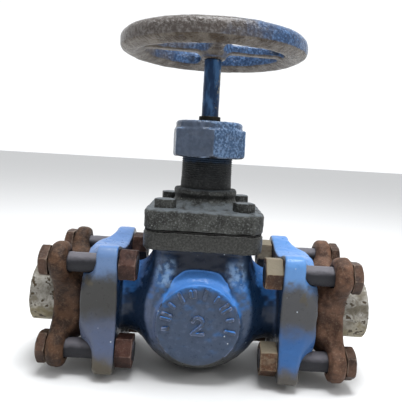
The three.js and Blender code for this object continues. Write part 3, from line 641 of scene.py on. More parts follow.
def flange_band(n, colour, on_flange):
    """Blue tops, a grey grime band, blue again and olive tips on the rims of the end flanges, and the top
    blue as painted light on flange faces that look up.
    """
    ragged = n.times(n.minus(n.noise(16, 4), 0.5), 26)
    level = n.plus(n.height(), ragged)
    outlet = n.span(n.height(0), -20, 20)
    rim = n.times(on_flange, n.span(n.math("ABSOLUTE", n.facing(1)), 0.2, 0.55))
    low = n.mix(outlet, linear(88, 96, 118), linear(58, 96, 148))
    grime = n.mix(outlet, linear(62, 61, 58), linear(74, 74, 75))
    top = n.mix(outlet, linear(104, 132, 174), linear(96, 144, 202))
    bands = n.mix(n.span(level, -26, 2), low, grime)
    bands = n.mix(n.span(level, 26, 46), bands, top)
    colour = n.lay(colour, bands, 0.95, rim)
    # Painted light: flange faces that look up take the top blue.
    lit_from_above = n.times(n.span(n.facing(2), 0.3, 0.7), on_flange)
    colour = n.lay(colour, top, 0.6, lit_from_above)
    yellowed = n.times(n.span(n.noise(13, 2), 0.56, 0.66), n.span(level, 10, 24), n.span(level, 50, 38))
    colour = n.lay(colour, OLIVE, 0.6, yellowed, rim)
    tips = n.times(n.span(level, -36, -54), on_flange)
    return n.lay(colour, OLIVE, 0.9, tips)


def boss_surround(n, colour, off_axis):
    """A painted shadow in the neck pocket, a painted light band between it and the boss where it faces up,
    and painted highlight flecks on the fillets on both sides.
    """
    depth = n.math("ABSOLUTE", n.height(1))
    # Painted shadow: the neck pocket under the square flange is turned near black blue.
    pocket = n.times(n.span(depth, 47, 43), n.span(n.height(), 40, 43), n.span(off_axis, 34, 22))
    colour = n.lay(colour, POCKET_SHADOW_BLUE, 0.95, pocket)
    # Painted light: the band over the boss that faces up is bright blue.
    lit_band_facing_up = n.times(n.span(n.facing(2), 0.25, 0.5), n.span(off_axis, 42, 34))
    band = n.times(n.span(n.height(), 20, 28), n.span(n.height(), 43, 40))
    colour = n.lay(colour, LIT_BAND_BLUE, 0.85, lit_band_facing_up, band)
    # Painted highlight: pale blue flecks on the fillets beside the pocket.
    beside = n.times(n.span(off_axis, 22, 30), n.span(off_axis, 46, 40))
    level = n.times(n.span(n.height(), 22, 32), n.span(n.height(), 54, 46))
    rubbed = n.times(beside, level, n.span(n.noise(7, 3, 0.6), 0.4, 0.64))
    return n.lay(colour, FILLET_HIGHLIGHT_BLUE, 0.62, rubbed)


def body_paint(name):
    """The body's paint: banded end flanges, the boss's surround and soot on the square top flange."""
    n = Nodes(name)
    colour, fine = paint_layers(n)
    off_axis = n.math("ABSOLUTE", n.height(0))
    on_flange = n.span(off_axis, FLANGE_BACK - 2, FLANGE_BACK + 1)
    off_flange = n.minus(1.0, on_flange)
    colour = flange_band(n, colour, on_flange)
    belly = n.times(n.span(n.height(), -36, -60), off_flange)
    colour = n.lay(colour, BELLY_GREY, 0.75, belly)
    colour = boss_surround(n, colour, off_axis)
    colour = worn_and_specked(n, colour, fine)
    level = n.plus(n.height(), n.times(fine, 5))
    soot = n.times(n.span(level, TOP_FLANGE_LOW + 0.5, TOP_FLANGE_LOW + 3), off_flange)
    grain = n.noise(1.8, 4, 0.7)
    colour = n.mix(soot, colour, n.mix(n.span(grain, 0.4, 0.72), SOOT_DARK, SOOT_PALE))
    n.bump(grain, n.times(soot, SOOT_RELIEF * MM))
    return paint_finish(n, colour, fine, 0.3)


def hammered_paint(name):
    """The packing nut's slate paint, thickly wrinkled, with painted light on the side towards +x and on top,
    painted sparkle on the wrinkles there and painted shade underneath.
    """
    n = Nodes(name)
    fine = n.noise(5, 4, 0.6)
    wrinkles = n.noise(2.4, 2, 0.5, 0.4)
    # Painted light: the side towards +x and the top are lighter blue, with painted sparkle on the wrinkles.
    painted_lit_side = n.span(n.plus(n.facing(0), n.times(n.facing(2), 0.7)), 0.1, 0.6)
    colour = n.mix(n.span(fine, 0.35, 0.7), linear(70, 80, 96), linear(84, 94, 112))
    blue = n.mix(n.span(wrinkles, 0.4, 0.64), linear(54, 78, 108), linear(106, 132, 166))
    colour = n.mix(painted_lit_side, colour, blue)
    # Painted shade: faces that look down are darker.
    colour = n.mix(n.span(n.facing(2), -0.2, -0.7), colour, linear(44, 46, 50))
    worn = n.times(n.mask("edge"), n.noise(6, 4))
    colour = n.mix(n.span(worn, 0.3, 0.55), colour, linear(120, 136, 160))
    # Painted shade: crannies are darkened to deep blue.
    colour = n.mix(n.span(n.mask("cranny"), 0.3, 0.8), colour, BLUE_SHADE)
    n.bump(wrinkles, n.scaled(painted_lit_side, NUT_RELIEF * MM, 0.2 * MM))
    n.bump(n.noise(12, 2), 0.5)
    return n.finish(colour, n.scaled(fine, 0.3, 0.2), coat=0.2)


def sooty_iron(name, blue_above=None):
    """Rough cast iron, dark with soot, with pale specks and dust on the faces that look up."""
    n = Nodes(name)
    grain = n.noise(1.8, 4, 0.7)
    blotch = n.noise(18, 4, 0.6)
    colour = n.mix(n.span(blotch, 0.35, 0.7), SOOT_DARK, SOOT_PALE)
    colour = n.lay(colour, linear(124, 127, 126), 0.7, n.span(grain, 0.5, 0.68))
    colour = n.lay(colour, linear(24, 24, 23), 0.7, n.span(grain, 0.44, 0.3))
    # Painted shade: crannies are darkened almost to black.
    colour = n.lay(colour, linear(20, 20, 20), 0.85, n.span(n.mask("cranny"), 0.3, 0.95))
    dusty = n.times(n.span(n.facing(2), 0.4, 0.9), n.span(n.noise(9, 3), 0.25, 0.55))
    colour = n.lay(colour, linear(112, 120, 126), 0.7, dusty)
    specks = n.times(n.span(n.cells(6), 0.1, 0.06), n.span(n.noise(13, 1), 0.52, 0.62))
    colour = n.mix(specks, colour, linear(176, 178, 172))
    if blue_above is not None:
        tower = n.span(n.height(), blue_above - 34, blue_above - 28)
        colour = n.lay(colour, linear(20, 22, 25), 0.75, tower)
        level = n.plus(n.height(), n.times(n.noise(6, 3), 8))
        colour = n.mix(n.span(level, blue_above, blue_above + 4), colour, linear(32, 46, 64))
    n.bump(grain, 0.9)
    n.bump(n.noise(7, 3), 0.7)
    return n.finish(colour, n.scaled(blotch, 0.3, 0.4))


def rusty_iron(name, dark, mid, pale, gloss=0.55, top=None, shank_end=None):
    """Brown rust with painted shade in the hollows and underneath, and paler rubbed edges; top colours the
    faces that look up. Where shank_end is given, the shank is dark steel with a painted highlight along its
    top.
    """
    n = Nodes(name)
    blotch = n.noise(12, 4, 0.62)
    grain = n.noise(1.8, 4, 0.7)
    colour = n.mix(n.span(blotch, 0.38, 0.62), dark, mid)
    colour = n.lay(colour, pale, 0.5, n.span(grain, 0.5, 0.72))
    if top is not None:
        colour = n.lay(colour, top, 0.85, n.span(n.facing(2), 0.15, 0.45))
    rubbed = n.times(n.mask("edge"), n.noise(6, 3))
    colour = n.mix(n.span(rubbed, 0.28, 0.6), colour, pale)
    # Painted shade: hollows are darkened, and faces that look down too.
    colour = n.mix(n.span(n.mask("cranny"), 0.2, 0.75), colour, linear(20, 15, 12))
    colour = n.lay(colour, linear(34, 24, 20), 0.5, n.span(n.facing(2), -0.1, -0.6))
    if shank_end is not None:
        off_axis = n.math("ABSOLUTE", n.height(0))
        # Painted highlight: the shank steel is lighter where it faces up.
        steel = n.mix(n.span(n.facing(2), 0.2, 0.8), linear(44, 44, 48), linear(104, 102, 108))
        colour = n.mix(n.span(off_axis, shank_end, shank_end - 1), colour, steel)
    n.bump(grain, 0.45)
    n.bump(n.noise(8, 3), 0.6)
    return n.finish(colour, n.scaled(grain, 0.25, gloss - 0.1))


def galvanised(name):
    """Dull zinc that peels in flakes, stained olive on the underside."""
    n = Nodes(name)
    blotch = n.noise(10, 4, 0.6, 0.4)
    flakes = n.noise(5, 3, 0.6)
    colour = n.mix(n.span(blotch, 0.38, 0.6), linear(106, 100, 88), linear(158, 155, 148))
    low = n.plus(n.height(), n.times(n.noise(12, 3), 30))
    colour = n.lay(colour, linear(132, 120, 82), 0.75, n.span(low, 14, -10))
    bare = n.span(n.times(flakes, blotch), 0.3, 0.35)
    colour = n.mix(bare, colour, linear(74, 64, 50))
    # Painted shade: crannies are darkened.
    colour = n.mix(n.span(n.mask("cranny"), 0.2, 0.6), colour, linear(40, 32, 24))
    n.bump(bare, -0.5)
    n.bump(flakes, 0.3)
    return n.finish(colour, n.scaled(blotch, 0.4, 0.15), metallic=0.25)


def wheel_paint(name):
    """Wrinkled blue paint, worn to brown-grey on the left and top, smooth brown underneath."""
    n = Nodes(name)
    wrinkles = n.noise(2.8, 3, 0.6, 0.3)
    blotch = n.noise(22, 4, 0.6)
    ridge = n.span(wrinkles, 0.42, 0.66)
    blue = n.mix(ridge, linear(46, 70, 104), linear(84, 116, 158))
    worn = n.mix(ridge, linear(84, 74, 64), linear(118, 110, 100))
    left = n.plus(n.height(0), n.times(n.minus(blotch, 0.5), 130))
    nearby = n.plus(left, n.times(n.height(1), 0.7))
    colour = n.lay(blue, worn, 0.9, n.span(nearby, 10, -60))
    below = n.span(n.plus(n.facing(2), n.times(n.noise(7, 3), 0.3)), -0.2, -0.5)
    brown = n.mix(n.span(n.noise(12, 4), 0.4, 0.62), linear(62, 50, 36), linear(102, 94, 84))
    colour = n.lay(colour, brown, 0.95, below)
    # Painted shade: crannies are darkened to dark blue.
    colour = n.mix(n.span(n.mask("cranny"), 0.6, 1.0), colour, linear(34, 46, 64))
    n.bump(wrinkles, 2.4)
    n.bump(n.noise(8, 3), 0.8)
    return n.finish(colour, n.scaled(blotch, 0.3, 0.15), coat=0.2)


def stem_paint(name):
    """Dark blue paint on steel, chipped to cream near the packing nut and under the wheel."""
    n = Nodes(name)
    streak = n.noise(9, 4, 0.6, 0.3, (1, 1, 0.35))
    colour = n.mix(n.span(streak, 0.4, 0.62), linear(22, 46, 76), linear(58, 92, 130))
    chips = n.noise(9, 5, 0.7)
    patches = n.times(n.span(chips, 0.52, 0.6), n.span(n.noise(30, 1), 0.48, 0.58))
    colour = n.lay(colour, CREAM, 0.85, patches)
    colour = n.mix(n.span(n.noise(3, 3), 0.64, 0.7), colour, linear(24, 26, 28))
    n.bump(chips, 0.4)
    n.bump(n.noise(2.4, 3), 0.2)
    return n.finish(colour, 0.38, coat=0.2)


def turned_metal(name, colour, roughness):
    """Plain turned metal with fine rings and a little stain, for the inner pieces."""
    n = Nodes(name)
    stain = n.noise(12, 4)
    rings = n.noise(1.2, 2, 0.5, 0, (0.05, 0.05, 1))
    shade = n.mix(n.span(stain, 0.35, 0.7), colour, tuple(0.45 * c for c in colour))
    n.bump(rings, 0.05)
    return n.finish(shade, n.scaled(stain, 0.2, roughness), metallic=1.0)


def soft_sheet(name, colour, roughness=0.8):
    n = Nodes(name)
    fibres = n.noise(1.1, 4, 0.7, 0, (1, 1, 3))
    shade = n.mix(n.span(fibres, 0.35, 0.7), colour, tuple(1.7 * c for c in colour))
    n.bump(fibres, 0.12)
    return n.finish(shade, roughness, specular=0.3)


# ---- valve body
def carve_sides(outline, y, z, centre, arc, blend):
    """Takes a round bite out of each of an outline's four sides."""
    outline = carve(outline, hypot(np.abs(y) - centre, z) - arc, blend)
    return carve(outline, hypot(y, np.abs(z) - centre) - arc, blend)


def body_flange_outline(y, z):
    """Square whose sides curve in between the ears."""
    chord = FLANGE_HALF - FLANGE_TIP
    arc = (chord ** 2 + FLANGE_DIP ** 2) / (2 * FLANGE_DIP)
    centre = FLANGE_HALF - FLANGE_DIP + arc
    outline = rectangle(y, z, FLANGE_HALF, FLANGE_HALF, FLANGE_CORNER)
    return carve_sides(outline, y, z, centre, arc, 5)


def bolt_holes(y, z):
    return from_corner(y, z, BOLT_PITCH) - BOLT_RADIUS - HOLE_GAP


def body_end_flange(x, y, z):
    out = np.abs(x)
    radius = hypot(y, z)
    drop = (JOINT_FACE - FLANGE_EAR_FACE) / (HUB_ROOT_RADIUS - HUB_FACE_RADIUS)
    cone = (out - JOINT_FACE + (radius - HUB_FACE_RADIUS) * drop) / math.hypot(1, drop)
    face = join(cone, out - FLANGE_EAR_FACE, 9)
    face = meet(face, out - JOINT_FACE, 2)
    flange = slab(body_flange_outline(y, z), out, FLANGE_BACK, JOINT_FACE + 6, 2.6)
    flange = meet(flange, face, 4)
    return carve(flange, bolt_holes(y, z), 0.8)


def neck_pocket(x, y, z):
    """Dished scoop under the square flange, down to a sloping crescent over the name boss."""
    behind = BOSS_FACE - np.abs(y)
    crescent = (BOSS_RADIUS + 1.33 * behind - hypot(x, z + BOSS_DROP + 0.85 * behind)) * 0.6
    off_middle = np.clip(np.abs(x) - POCKET_FLAT, 0, None) / (POCKET_HALF - POCKET_FLAT)
    floor = POCKET_FLOOR + off_middle * (13 * off_middle + 0.4 * (TOP_FLANGE_LOW - z))
    scoop = meet((floor - np.abs(y)) * 0.8, z - TOP_FLANGE_LOW, 2)
    return meet(scoop, crescent, 1.5)


def name_boss(x, y, z):
    """Round boss, with a little draft, standing out from the globe's front and back."""
    out = np.abs(y)
    side = hypot(x, z + BOSS_DROP) - BOSS_RADIUS - 0.3 * (BOSS_FACE - out)
    return slab(side, out, 30, BOSS_FACE, 1.3)


def body_shell(x, y, z):
    globe = np.sqrt(x * x + y * y + z * z) - GLOBE_RADIUS
    globe = meet(globe, np.abs(y) - GLOBE_FLAT, 9)
    neck = slab(rectangle(x, y, NECK_HALF_X, NECK_HALF_Y, NECK_CORNER), z, 0, BODY_TOP - 2, 1)
    shell = join(globe, neck, 8)
    barrel = slab(hypot(y, z) - BARREL_RADIUS, x, -FLANGE_BACK - 2, FLANGE_BACK + 2, 1)
    shell = join(shell, barrel, 9)
    shell = join(shell, name_boss(x, y, z), 3)
    shell = carve(shell, neck_pocket(x, y, z), 5)
    square = rectangle(x, y, PLATE_HALF, PLATE_HALF, PLATE_CORNER)
    shell = join(shell, slab(square, z, TOP_FLANGE_LOW, BODY_TOP, 2.4), 5)
    shell = join(shell, body_end_flange(x, y, z), 7)
    return meet(shell, FOOT - z, 2)


def body_inside(x, y, z):
    inner = GLOBE_RADIUS - GLOBE_WALL
    side = BOSS_FACE - BOSS_WALL
    stretched = np.sqrt((x / inner) ** 2 + (y / side) ** 2 + (z / inner) ** 2)
    cavity = (stretched - 1) * side
    # The wall starts over the inlet, runs level round the seat and ends under the outlet.
    bends = ((-62, 33), (-40, SEAT_WALL_MIDDLE), (40, SEAT_WALL_MIDDLE), (62, -33))
    wall = union(*(segment(x, z, *ends) for ends in zip(bends[:-1], bends[1:])))
    cavity = carve(cavity, wall - SEAT_WALL_HALF, 2)
    upright = hypot(x, y)
    seat_hole = slab(upright - SEAT_HOLE, z, -12, 6, 0.6)
    neck_bore = slab(upright - NECK_BORE, z, 8, BODY_TOP + 6, 0.6)
    port = slab(hypot(y, z) - PORT_RADIUS, np.abs(x), PORT_START, JOINT_FACE + 6, 0.6)
    tapped = slab(from_corner(x, y, SCREW_PITCH) - SCREW_RADIUS - FIT, z, BODY_TOP - 16, BODY_TOP + 6, 0.6)
    return union(join(cavity, port, 4), seat_hole, neck_bore, tapped)


def body_field(x, y, z):
    return carve(body_shell(x, y, z), body_inside(x, y, z), 0.8)


def make_body():
    box = ((-JOINT_FACE, -FLANGE_HALF, FOOT), (JOINT_FACE, FLANGE_HALF, BODY_TOP))
    make_piece("body_casting", "blue_paint", "body", body_field, box, 1.15, body_paint("body_paint"),
               rough=0.5, seed=3)


# ---- plain raised marks on the boss
def mark_strokes():
    """Strokes of the size number and of the plain ticks round it, as segments in the boss plane."""
    strokes = []
    bowl = []
    for step in range(9):
        angle = math.radians(170 - step * 27.5)
        bowl.append((4.8 * math.cos(angle), 3.4 + 4.6 * math.sin(angle)))
    bowl += [(-5.3, -7.8), (5.6, -7.8)]
    strokes += list(zip(bowl[:-1], bowl[1:]))
    for number in range(10):
        angle = math.radians(188 - number * 21.8)
        long = 4.2 if number % 2 else 2.6
        for side in ((-0.06, 0.06) if number % 3 == 1 else (0,)):
            ends = (TICK_RADIUS - long, TICK_RADIUS + long)
            strokes.append([(r * math.cos(angle + side), r * math.sin(angle + side)) for r in ends])
    return strokes


MARKS = mark_strokes()


def marks_field(x, y, z):
    ink = union(*(segment(x, z + BOSS_DROP, *ends) for ends in MARKS))
    return slab(ink - MARK_HALF, y, -BOSS_FACE - MARK_HEIGHT, -BOSS_FACE + 1.5, 0.8)


def make_marks(material):
    reach = 37
    box = ((-reach, -BOSS_FACE - 2.4, -reach - BOSS_DROP), (reach, -BOSS_FACE + 1.6, reach - BOSS_DROP))
    make_piece("boss_marks", "blue_paint", None, marks_field, box, 0.5, material, rough=0.12, seed=5)


# ---- bonnet
def bonnet_field(x, y, z):
    upright = hypot(x, y)
    square = rectangle(x, y, PLATE_HALF, PLATE_HALF, PLATE_CORNER)
    plate = slab(square, z, PLATE_LOW, PLATE_TOP, 3)
    waist = slab(upright - WAIST_RADIUS, z, PLATE_TOP - 4, COLLAR_TOP - 2, 1)
    shape = join(plate, waist, 20)
    shape = join(shape, slab(upright - COLLAR_RADIUS, z, COLLAR_TOP - 4.5, COLLAR_TOP, 1.6), 7)
    from_screw = from_corner(x, y, SCREW_PITCH)
    shape = join(shape, slab(from_screw - SCREW_PAD_RADIUS, z, PLATE_TOP - 4, PLATE_TOP + 0.2, 0.8), 3)
    spigot = slab(upright - SPIGOT_RADIUS, z, bonnet_low.z, PLATE_LOW + 3, 0.6)
    shape = union(shape, spigot)
    chamber = slab(upright - CHAMBER_RADIUS, z, bonnet_low.z - 6, PLATE_LOW + 5, 1)
    shape = carve(shape, union(chamber, upright - STUFFING_RADIUS), 1)
    return carve(shape, from_screw - SCREW_RADIUS - HOLE_GAP, 0.8)


def threaded_tower(name, material):
    """The tower above the collar: a wall with a bore, and screw threads on most of its outside."""
    turns, rings = 160, 260
    low, high = COLLAR_TOP - 3, TOWER_TOP
    angle = np.linspace(0, 2 * math.pi, turns, endpoint=False)[None, :]
    level = np.linspace(low, high, rings)[:, None]
    phase = (level / TOWER_PITCH + angle / (2 * math.pi)) % 1
    depth = TOWER_THREAD * np.clip((level - low - 9) / 8, 0, 1) * np.abs(2 * phase - 1)
    around = np.stack(np.broadcast_arrays(angle * 6, level, depth), axis=2).reshape(-1, 3)
    wear = 0.35 * layered_noise(around * np.array([4, 1, 1]), (9, 3), 8).reshape(rings, turns)
    outer = TOWER_RADIUS - depth + np.minimum(wear, 0.1)
    inner = np.full((rings, turns), STUFFING_RADIUS)
    return tube_between(name, angle, level, outer, inner, material)


def tube_between(name, angle, level, outer, inner, material):
    """A closed tube from two sheets of rings, each radius given per ring and turn."""
    rings, turns = outer.shape

    def sheet(radius):
        columns = np.broadcast_arrays(radius * np.cos(angle), radius * np.sin(angle), level)
        return np.stack(columns, axis=2).reshape(-1, 3)

    points = np.concatenate([sheet(outer), sheet(inner)])
    grid = np.arange(rings * turns).reshape(rings, turns)
    after = np.roll(grid, -1, axis=1)
    wall = np.stack([grid[:-1], after[:-1], after[1:], grid[1:]], axis=2).reshape(-1, 4)
    shift = rings * turns
    low_rim = np.stack([grid[0] + shift, after[0] + shift, after[0], grid[0]], axis=1)
    high_rim = np.stack([grid[-1], after[-1], after[-1] + shift, grid[-1] + shift], axis=1)
    faces = np.concatenate([wall, wall[:, ::-1] + shift, low_rim, high_rim])
    made = add_mesh(name, points, faces)
    add_mask(made, "edge", np.zeros(len(points)))
    # Painted shade: this cranny mask darkens the thread grooves and the whole bore.
    shade = np.concatenate([np.clip((TOWER_RADIUS - outer) / 1.4, 0, 1).ravel(), np.ones(shift)])
    add_mask(made, "cranny", shade)
    made.data.materials.append(material)
    return made


def make_bonnet(material):
    box = ((-PLATE_HALF, -PLATE_HALF, bonnet_low.z), (PLATE_HALF, PLATE_HALF, COLLAR_TOP))
    make_piece("bonnet_casting", "sooty_casting", "bonnet", bonnet_field, box, 0.85, material,
               rough=0.95, rough_sizes=(6, 2.4), seed=11)
    place(threaded_tower("bonnet_thread", material))


def screw_field(turn):
    def field(x, y, z):
        low = screw_high.z - SCREW_HEAD_HEIGHT
        top = screw_high.z + SCREW_EXTRA
        head = slab(hexagon(x, y, SCREW_HEX, turn), z, low, top, 0.6)
        head = meet(head, ball(x, y, z, top + 2.1, 24.1), 0.6)
        shank = slab(hypot(x, y) - SCREW_RADIUS, z, screw_low.z, low + 2, 0.8)
        return join(head, shank, 0.5)
    return field


def shifted(field, x0, y0, z0):
    def moved(x, y, z):
        return field(x - x0, y - y0, z - z0)
    return moved


def make_screws(material):
    for number, (a, b) in enumerate(CORNERS, 1):
        x, y = a * SCREW_PITCH, b * SCREW_PITCH
        field = shifted(screw_field(WRENCH_TURNS[number - 1] + 90), x, y, 0)
        low = (x - SCREW_REACH, y - SCREW_REACH, screw_low.z)
        high = (x + SCREW_REACH, y + SCREW_REACH, screw_high.z)
        make_piece(f"bonnet_cap_screw_{number}", "sooty_casting", f"bonnet_screw_{number}", field,
                   (low, high), 0.55, material, rough=0.25, seed=20 + number)


# ---- packing nut, gland and stem
def packing_nut_field(x, y, z):
    upright = hypot(x, y)
    hexagonal = slab(hexagon(x, y, PACKING_HEX, PACKING_TURN + 90), z, packing_low.z, PACKING_HEX_TOP, 1.6)
    chamfer = (upright - PACKING_CHAMFER - (z - packing_low.z) * 1.7) * 0.5
    hexagonal = meet(hexagonal, chamfer, 1.5)
    top = slab(upright - PACKING_TOP_RADIUS, z, PACKING_HEX_TOP - 6, PACKING_TOP, 3.4)
    shape = join(hexagonal, top, 3)
    thread = slab(upright - TOWER_RADIUS - FIT, z, packing_low.z - 6, PACKING_TOP - 5, 0.6)
    return carve(shape, union(thread, upright - PACKING_HOLE), 0.8)


def gland_field(x, y, z):
    upright = hypot(x, y)
    lip = slab(upright - GLAND_LIP_RADIUS, z, packing_high.z - 7, gland_high.z, 0.6)
    flange = slab(upright - GLAND_FLANGE_RADIUS, z, packing_high.z - 12.3, packing_high.z - 6.3, 0.6)
    bush = slab(upright - GLAND_BUSH_RADIUS, z, gland_low.z, packing_high.z - 8, 0.6)
    return carve(union(lip, flange, bush), upright - STEM_CLEARANCE_RADIUS, 0.5)


def stem_field(x, y, z):
    upright = hypot(x, y)
    button = slab(upright - BUTTON_RADIUS, z, stem_low.z, stem_low.z + BUTTON_HEIGHT, 0.8)
    rod = slab(upright - STEM_RADIUS, z, stem_low.z, wheel_low.z, 0.5)
    thread_low = STUFFING_FLOOR - THREAD_LENGTH - 2
    wave = THREAD_DEPTH * np.abs(2 * ((z / THREAD_PITCH) % 1) - 1)
    thread = slab(upright - THREAD_RADIUS + wave, z, thread_low, thread_low + THREAD_LENGTH, 1.5)
    tip = slab(upright - TIP_RADIUS, z, wheel_high.z - 3, stem_high.z, 0.8)
    drive = slab(rectangle(x, y, DRIVE_HALF, DRIVE_HALF, 0.8), z, wheel_low.z - 1, wheel_high.z - 1, 0.5)
    return join(union(button, rod, thread, tip), drive, 0.5)


# ---- handwheel
def rim_field(x, y, z):
    across = hypot(x, y) - RIM_RADIUS
    up = z - WHEEL_Z
    section = rectangle(across, up, RIM_WIDTH, RIM_HEIGHT, 9.6)
    underside = -up * 0.88 + np.abs(across) * 0.47 - 10.6
    return meet(section, underside, 1.2)


def spoke_field(x, y, z, number):
    angle = math.radians(SPOKE_TURN + 360 * number / SPOKES)
    along = x * math.cos(angle) + y * math.sin(angle)
    across = y * math.cos(angle) - x * math.sin(angle)
    width = 6.6 + 0.9 * np.clip(np.abs(along - 42) / 34, 0, 1)
    spoke = rectangle(across, z - WHEEL_Z, width, 4.6, 3.4)
    return np.maximum(spoke, np.abs(along - SPOKE_MIDDLE) - SPOKE_HALF)


def handwheel_field(x, y, z):
    upright = hypot(x, y)
    spokes = union(*(spoke_field(x, y, z, number) for number in range(SPOKES)))
    shape = join(rim_field(x, y, z), spokes, 6)
    taper = upright - HUB_RADIUS + np.clip((WHEEL_Z - 4 - z) * 0.55, 0, 6)
    hub = slab(taper, z, wheel_low.z, wheel_high.z, 1.6)
    shape = join(shape, hub, 5)
    square = rectangle(x, y, DRIVE_HALF + FIT, DRIVE_HALF + FIT, 0.8)
    socket = slab(square, z, wheel_low.z + 0.4, wheel_high.z + 6, 0.3)
    hole = slab(upright - STEM_CLEARANCE_RADIUS, z, wheel_low.z - 6, wheel_low.z + 1.2, 0.3)
    return carve(shape, union(socket, hole), 0.6)


def wheel_nut_field(x, y, z):
    shape = slab(hexagon(x, y, WHEEL_HEX, 90), z, wheel_nut_low.z, wheel_nut_high.z, 0.8)
    shape = meet(shape, ball(x, y, z, wheel_nut_high.z + 1, 13), 0.8)
    return carve(shape, hypot(x, y) - TIP_RADIUS - FIT, 0.5)


# ---- line flanges, stubs and bolts
def companion_outline(y, z):
    """Four round ears with deep waists between them."""
    reach = COMPANION_EAR - COMPANION_WAIST
    centre = (2 * BOLT_PITCH ** 2 - reach ** 2) / (2 * (BOLT_PITCH + reach))
    arc = centre - COMPANION_WAIST
    half = BOLT_PITCH + COMPANION_EAR
    return carve_sides(rectangle(y, z, half, half, COMPANION_EAR), y, z, centre, arc, 12)


def companion_field(x, y, z):
    radius = hypot(y, z)
    cone = (companion_low.x - x + radius - COMPANION_HUB_FACE) * SLANT
    face = join(cone, COMPANION_EAR_LOW - x, 6)
    face = meet(face, companion_low.x - x, 1.5)
    shape = slab(companion_outline(y, z), x, companion_low.x - 8, companion_high.x, 6.5)
    shape = meet(shape, face, 7)
    socket = slab(radius - PIPE_RADIUS - FIT, x, companion_low.x + 5, companion_high.x + 6, 0.6)
    hole = radius - PIPE_RADIUS + PIPE_WALL
    shape = carve(shape, union(socket, hole), 1.2)
    return carve(shape, bolt_holes(y, z), 1)


def stub_field(x, y, z):
    radius = hypot(y, z)
    middle = PIPE_RADIUS - PIPE_WALL / 2
    return slab(np.abs(radius - middle) - PIPE_WALL / 2, x, stub_low.x, stub_high.x, 0.9)


def bolt_field(turn):
    def field(x, y, z):
        low = bolt_high.x - BOLT_HEAD_HEIGHT
        head = slab(hexagon(y, z, BOLT_HEX, turn + BOLT_HEAD_TURN), x, low, bolt_high.x, 1)
        head = meet(head, ball(y, z, x, bolt_high.x + 1, 35), 1)
        shank = slab(hypot(y, z) - BOLT_RADIUS, x, bolt_low.x, low + 2, 1)
        return join(head, shank, 0.8)
    return field


def flange_nut_field(turn):
    def field(x, y, z):
        shape = slab(hexagon(y, z, BOLT_HEX, turn), x, nut_low.x, nut_high.x, 0.9)
        return carve(shape, hypot(y, z) - BOLT_RADIUS - FIT, 0.5)
    return field


def facing_side(field, sign):
    """The same field, turned half round the stem axis for the inlet side."""
    def turned(x, y, z):
        return field(sign * x, sign * y, z)
    return turned


def side_box(sign, low, high):
    ends = sorted((sign * low[0], sign * high[0]))
    sides = sorted((sign * low[1], sign * high[1]))
    return (ends[0], sides[0], low[2]), (ends[1], sides[1], high[2])


def make_line_end(side, sign, materials):
    """The companion flange, pipe stub and bolts at one end."""
    seed = 70 if sign > 0 else 90
    make_piece(f"companion_casting_{side}", "rusty_forging", f"companion_flange_{side}",
               facing_side(companion_field, sign), side_box(sign, companion_low, companion_high), 1.0,
               materials["flange"], rough=0.8, rough_sizes=(7, 3), seed=seed)
    make_piece(f"stub_{side}", "galvanised", f"pipe_stub_{side}", facing_side(stub_field, sign),
               side_box(sign, stub_low, stub_high), 0.9, materials["stub"],
               rough=0.5, rough_sizes=(8, 3), seed=seed + 1)
    for number, (a, b) in enumerate(CORNERS, 1):
        make_bolt_and_nut(side, sign, number, b * BOLT_PITCH, -a * BOLT_PITCH, materials)


def make_bolt_and_nut(side, sign, number, y, z, materials):
    turn = WRENCH_TURNS[number - 1]
    kinds = (("bolt", bolt_field(turn), bolt_low.x, bolt_high.x, 0.8, 100),
             ("nut", flange_nut_field(turn), nut_low.x, nut_high.x, 0.7, 120))
    for kind, centred, start, end, cell, seed in kinds:
        field = facing_side(shifted(centred, 0, y, z), sign)
        low, high = (start, y - BOLT_REACH, z - BOLT_REACH), (end, y + BOLT_REACH, z + BOLT_REACH)
        make_piece(f"{kind}_{side}_{number}", "rusty_bolt", f"flange_{kind}_{side}_{number}", field,
                   side_box(sign, low, high), cell, materials[kind], rough=0.35, seed=seed + number)


# ---- CAD pieces that stay
def dress_cad(material, *nodes):
    for node in nodes:
        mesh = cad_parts[node].data
        mesh.materials.clear()
        mesh.materials.append(material)


def dress_inner_pieces():
    dress_cad(turned_metal("turned_bronze", linear(176, 142, 84), 0.3),
              "seat_ring", "disc", "disc_nut", "packing_washer")
    dress_cad(soft_sheet("graphited_fibre", linear(36, 35, 34)),
              "packing_ring_1", "packing_ring_2", "packing_ring_3")
    dress_cad(soft_sheet("gasket_sheet", linear(30, 29, 28)),
              "bonnet_gasket", "flange_gasket_inlet", "flange_gasket_outlet")
    dress_cad(soft_sheet("seat_insert", linear(206, 202, 190), 0.5), "disc_insert")
    dress_cad(turned_metal("washer_steel", linear(128, 130, 130), 0.35), "wheel_washer")


# ---- stage, light and camera
def make_floor():
    mesh = bpy.data.meshes.new("floor")
    reach = 6
    mesh.from_pydata([(a * reach, b * reach, 0) for a, b in ((-1, -1), (1, -1), (1, 1), (-1, 1))],
                     [], [(0, 1, 2, 3)])
    floor = bpy.data.objects.new("floor", mesh)
    bpy.context.scene.collection.objects.link(floor)
    n = Nodes("pale_floor")
    floor.data.materials.append(n.finish(linear(232, 232, 232), 0.9, specular=0.1))


def area_light(name, place_at, target, size, power, colour=(1, 1, 1)):
    light = bpy.data.lights.new(name, "AREA")
    light.shape = "DISK"
    light.size = size
    light.energy = power
    light.color = colour
    lamp = bpy.data.objects.new(name, light)
    bpy.context.scene.collection.objects.link(lamp)
    lamp.location = place_at
    lamp.rotation_mode = "QUATERNION"
    lamp.rotation_quaternion = (Vector(place_at) - Vector(target)).to_track_quat("Z", "Y")


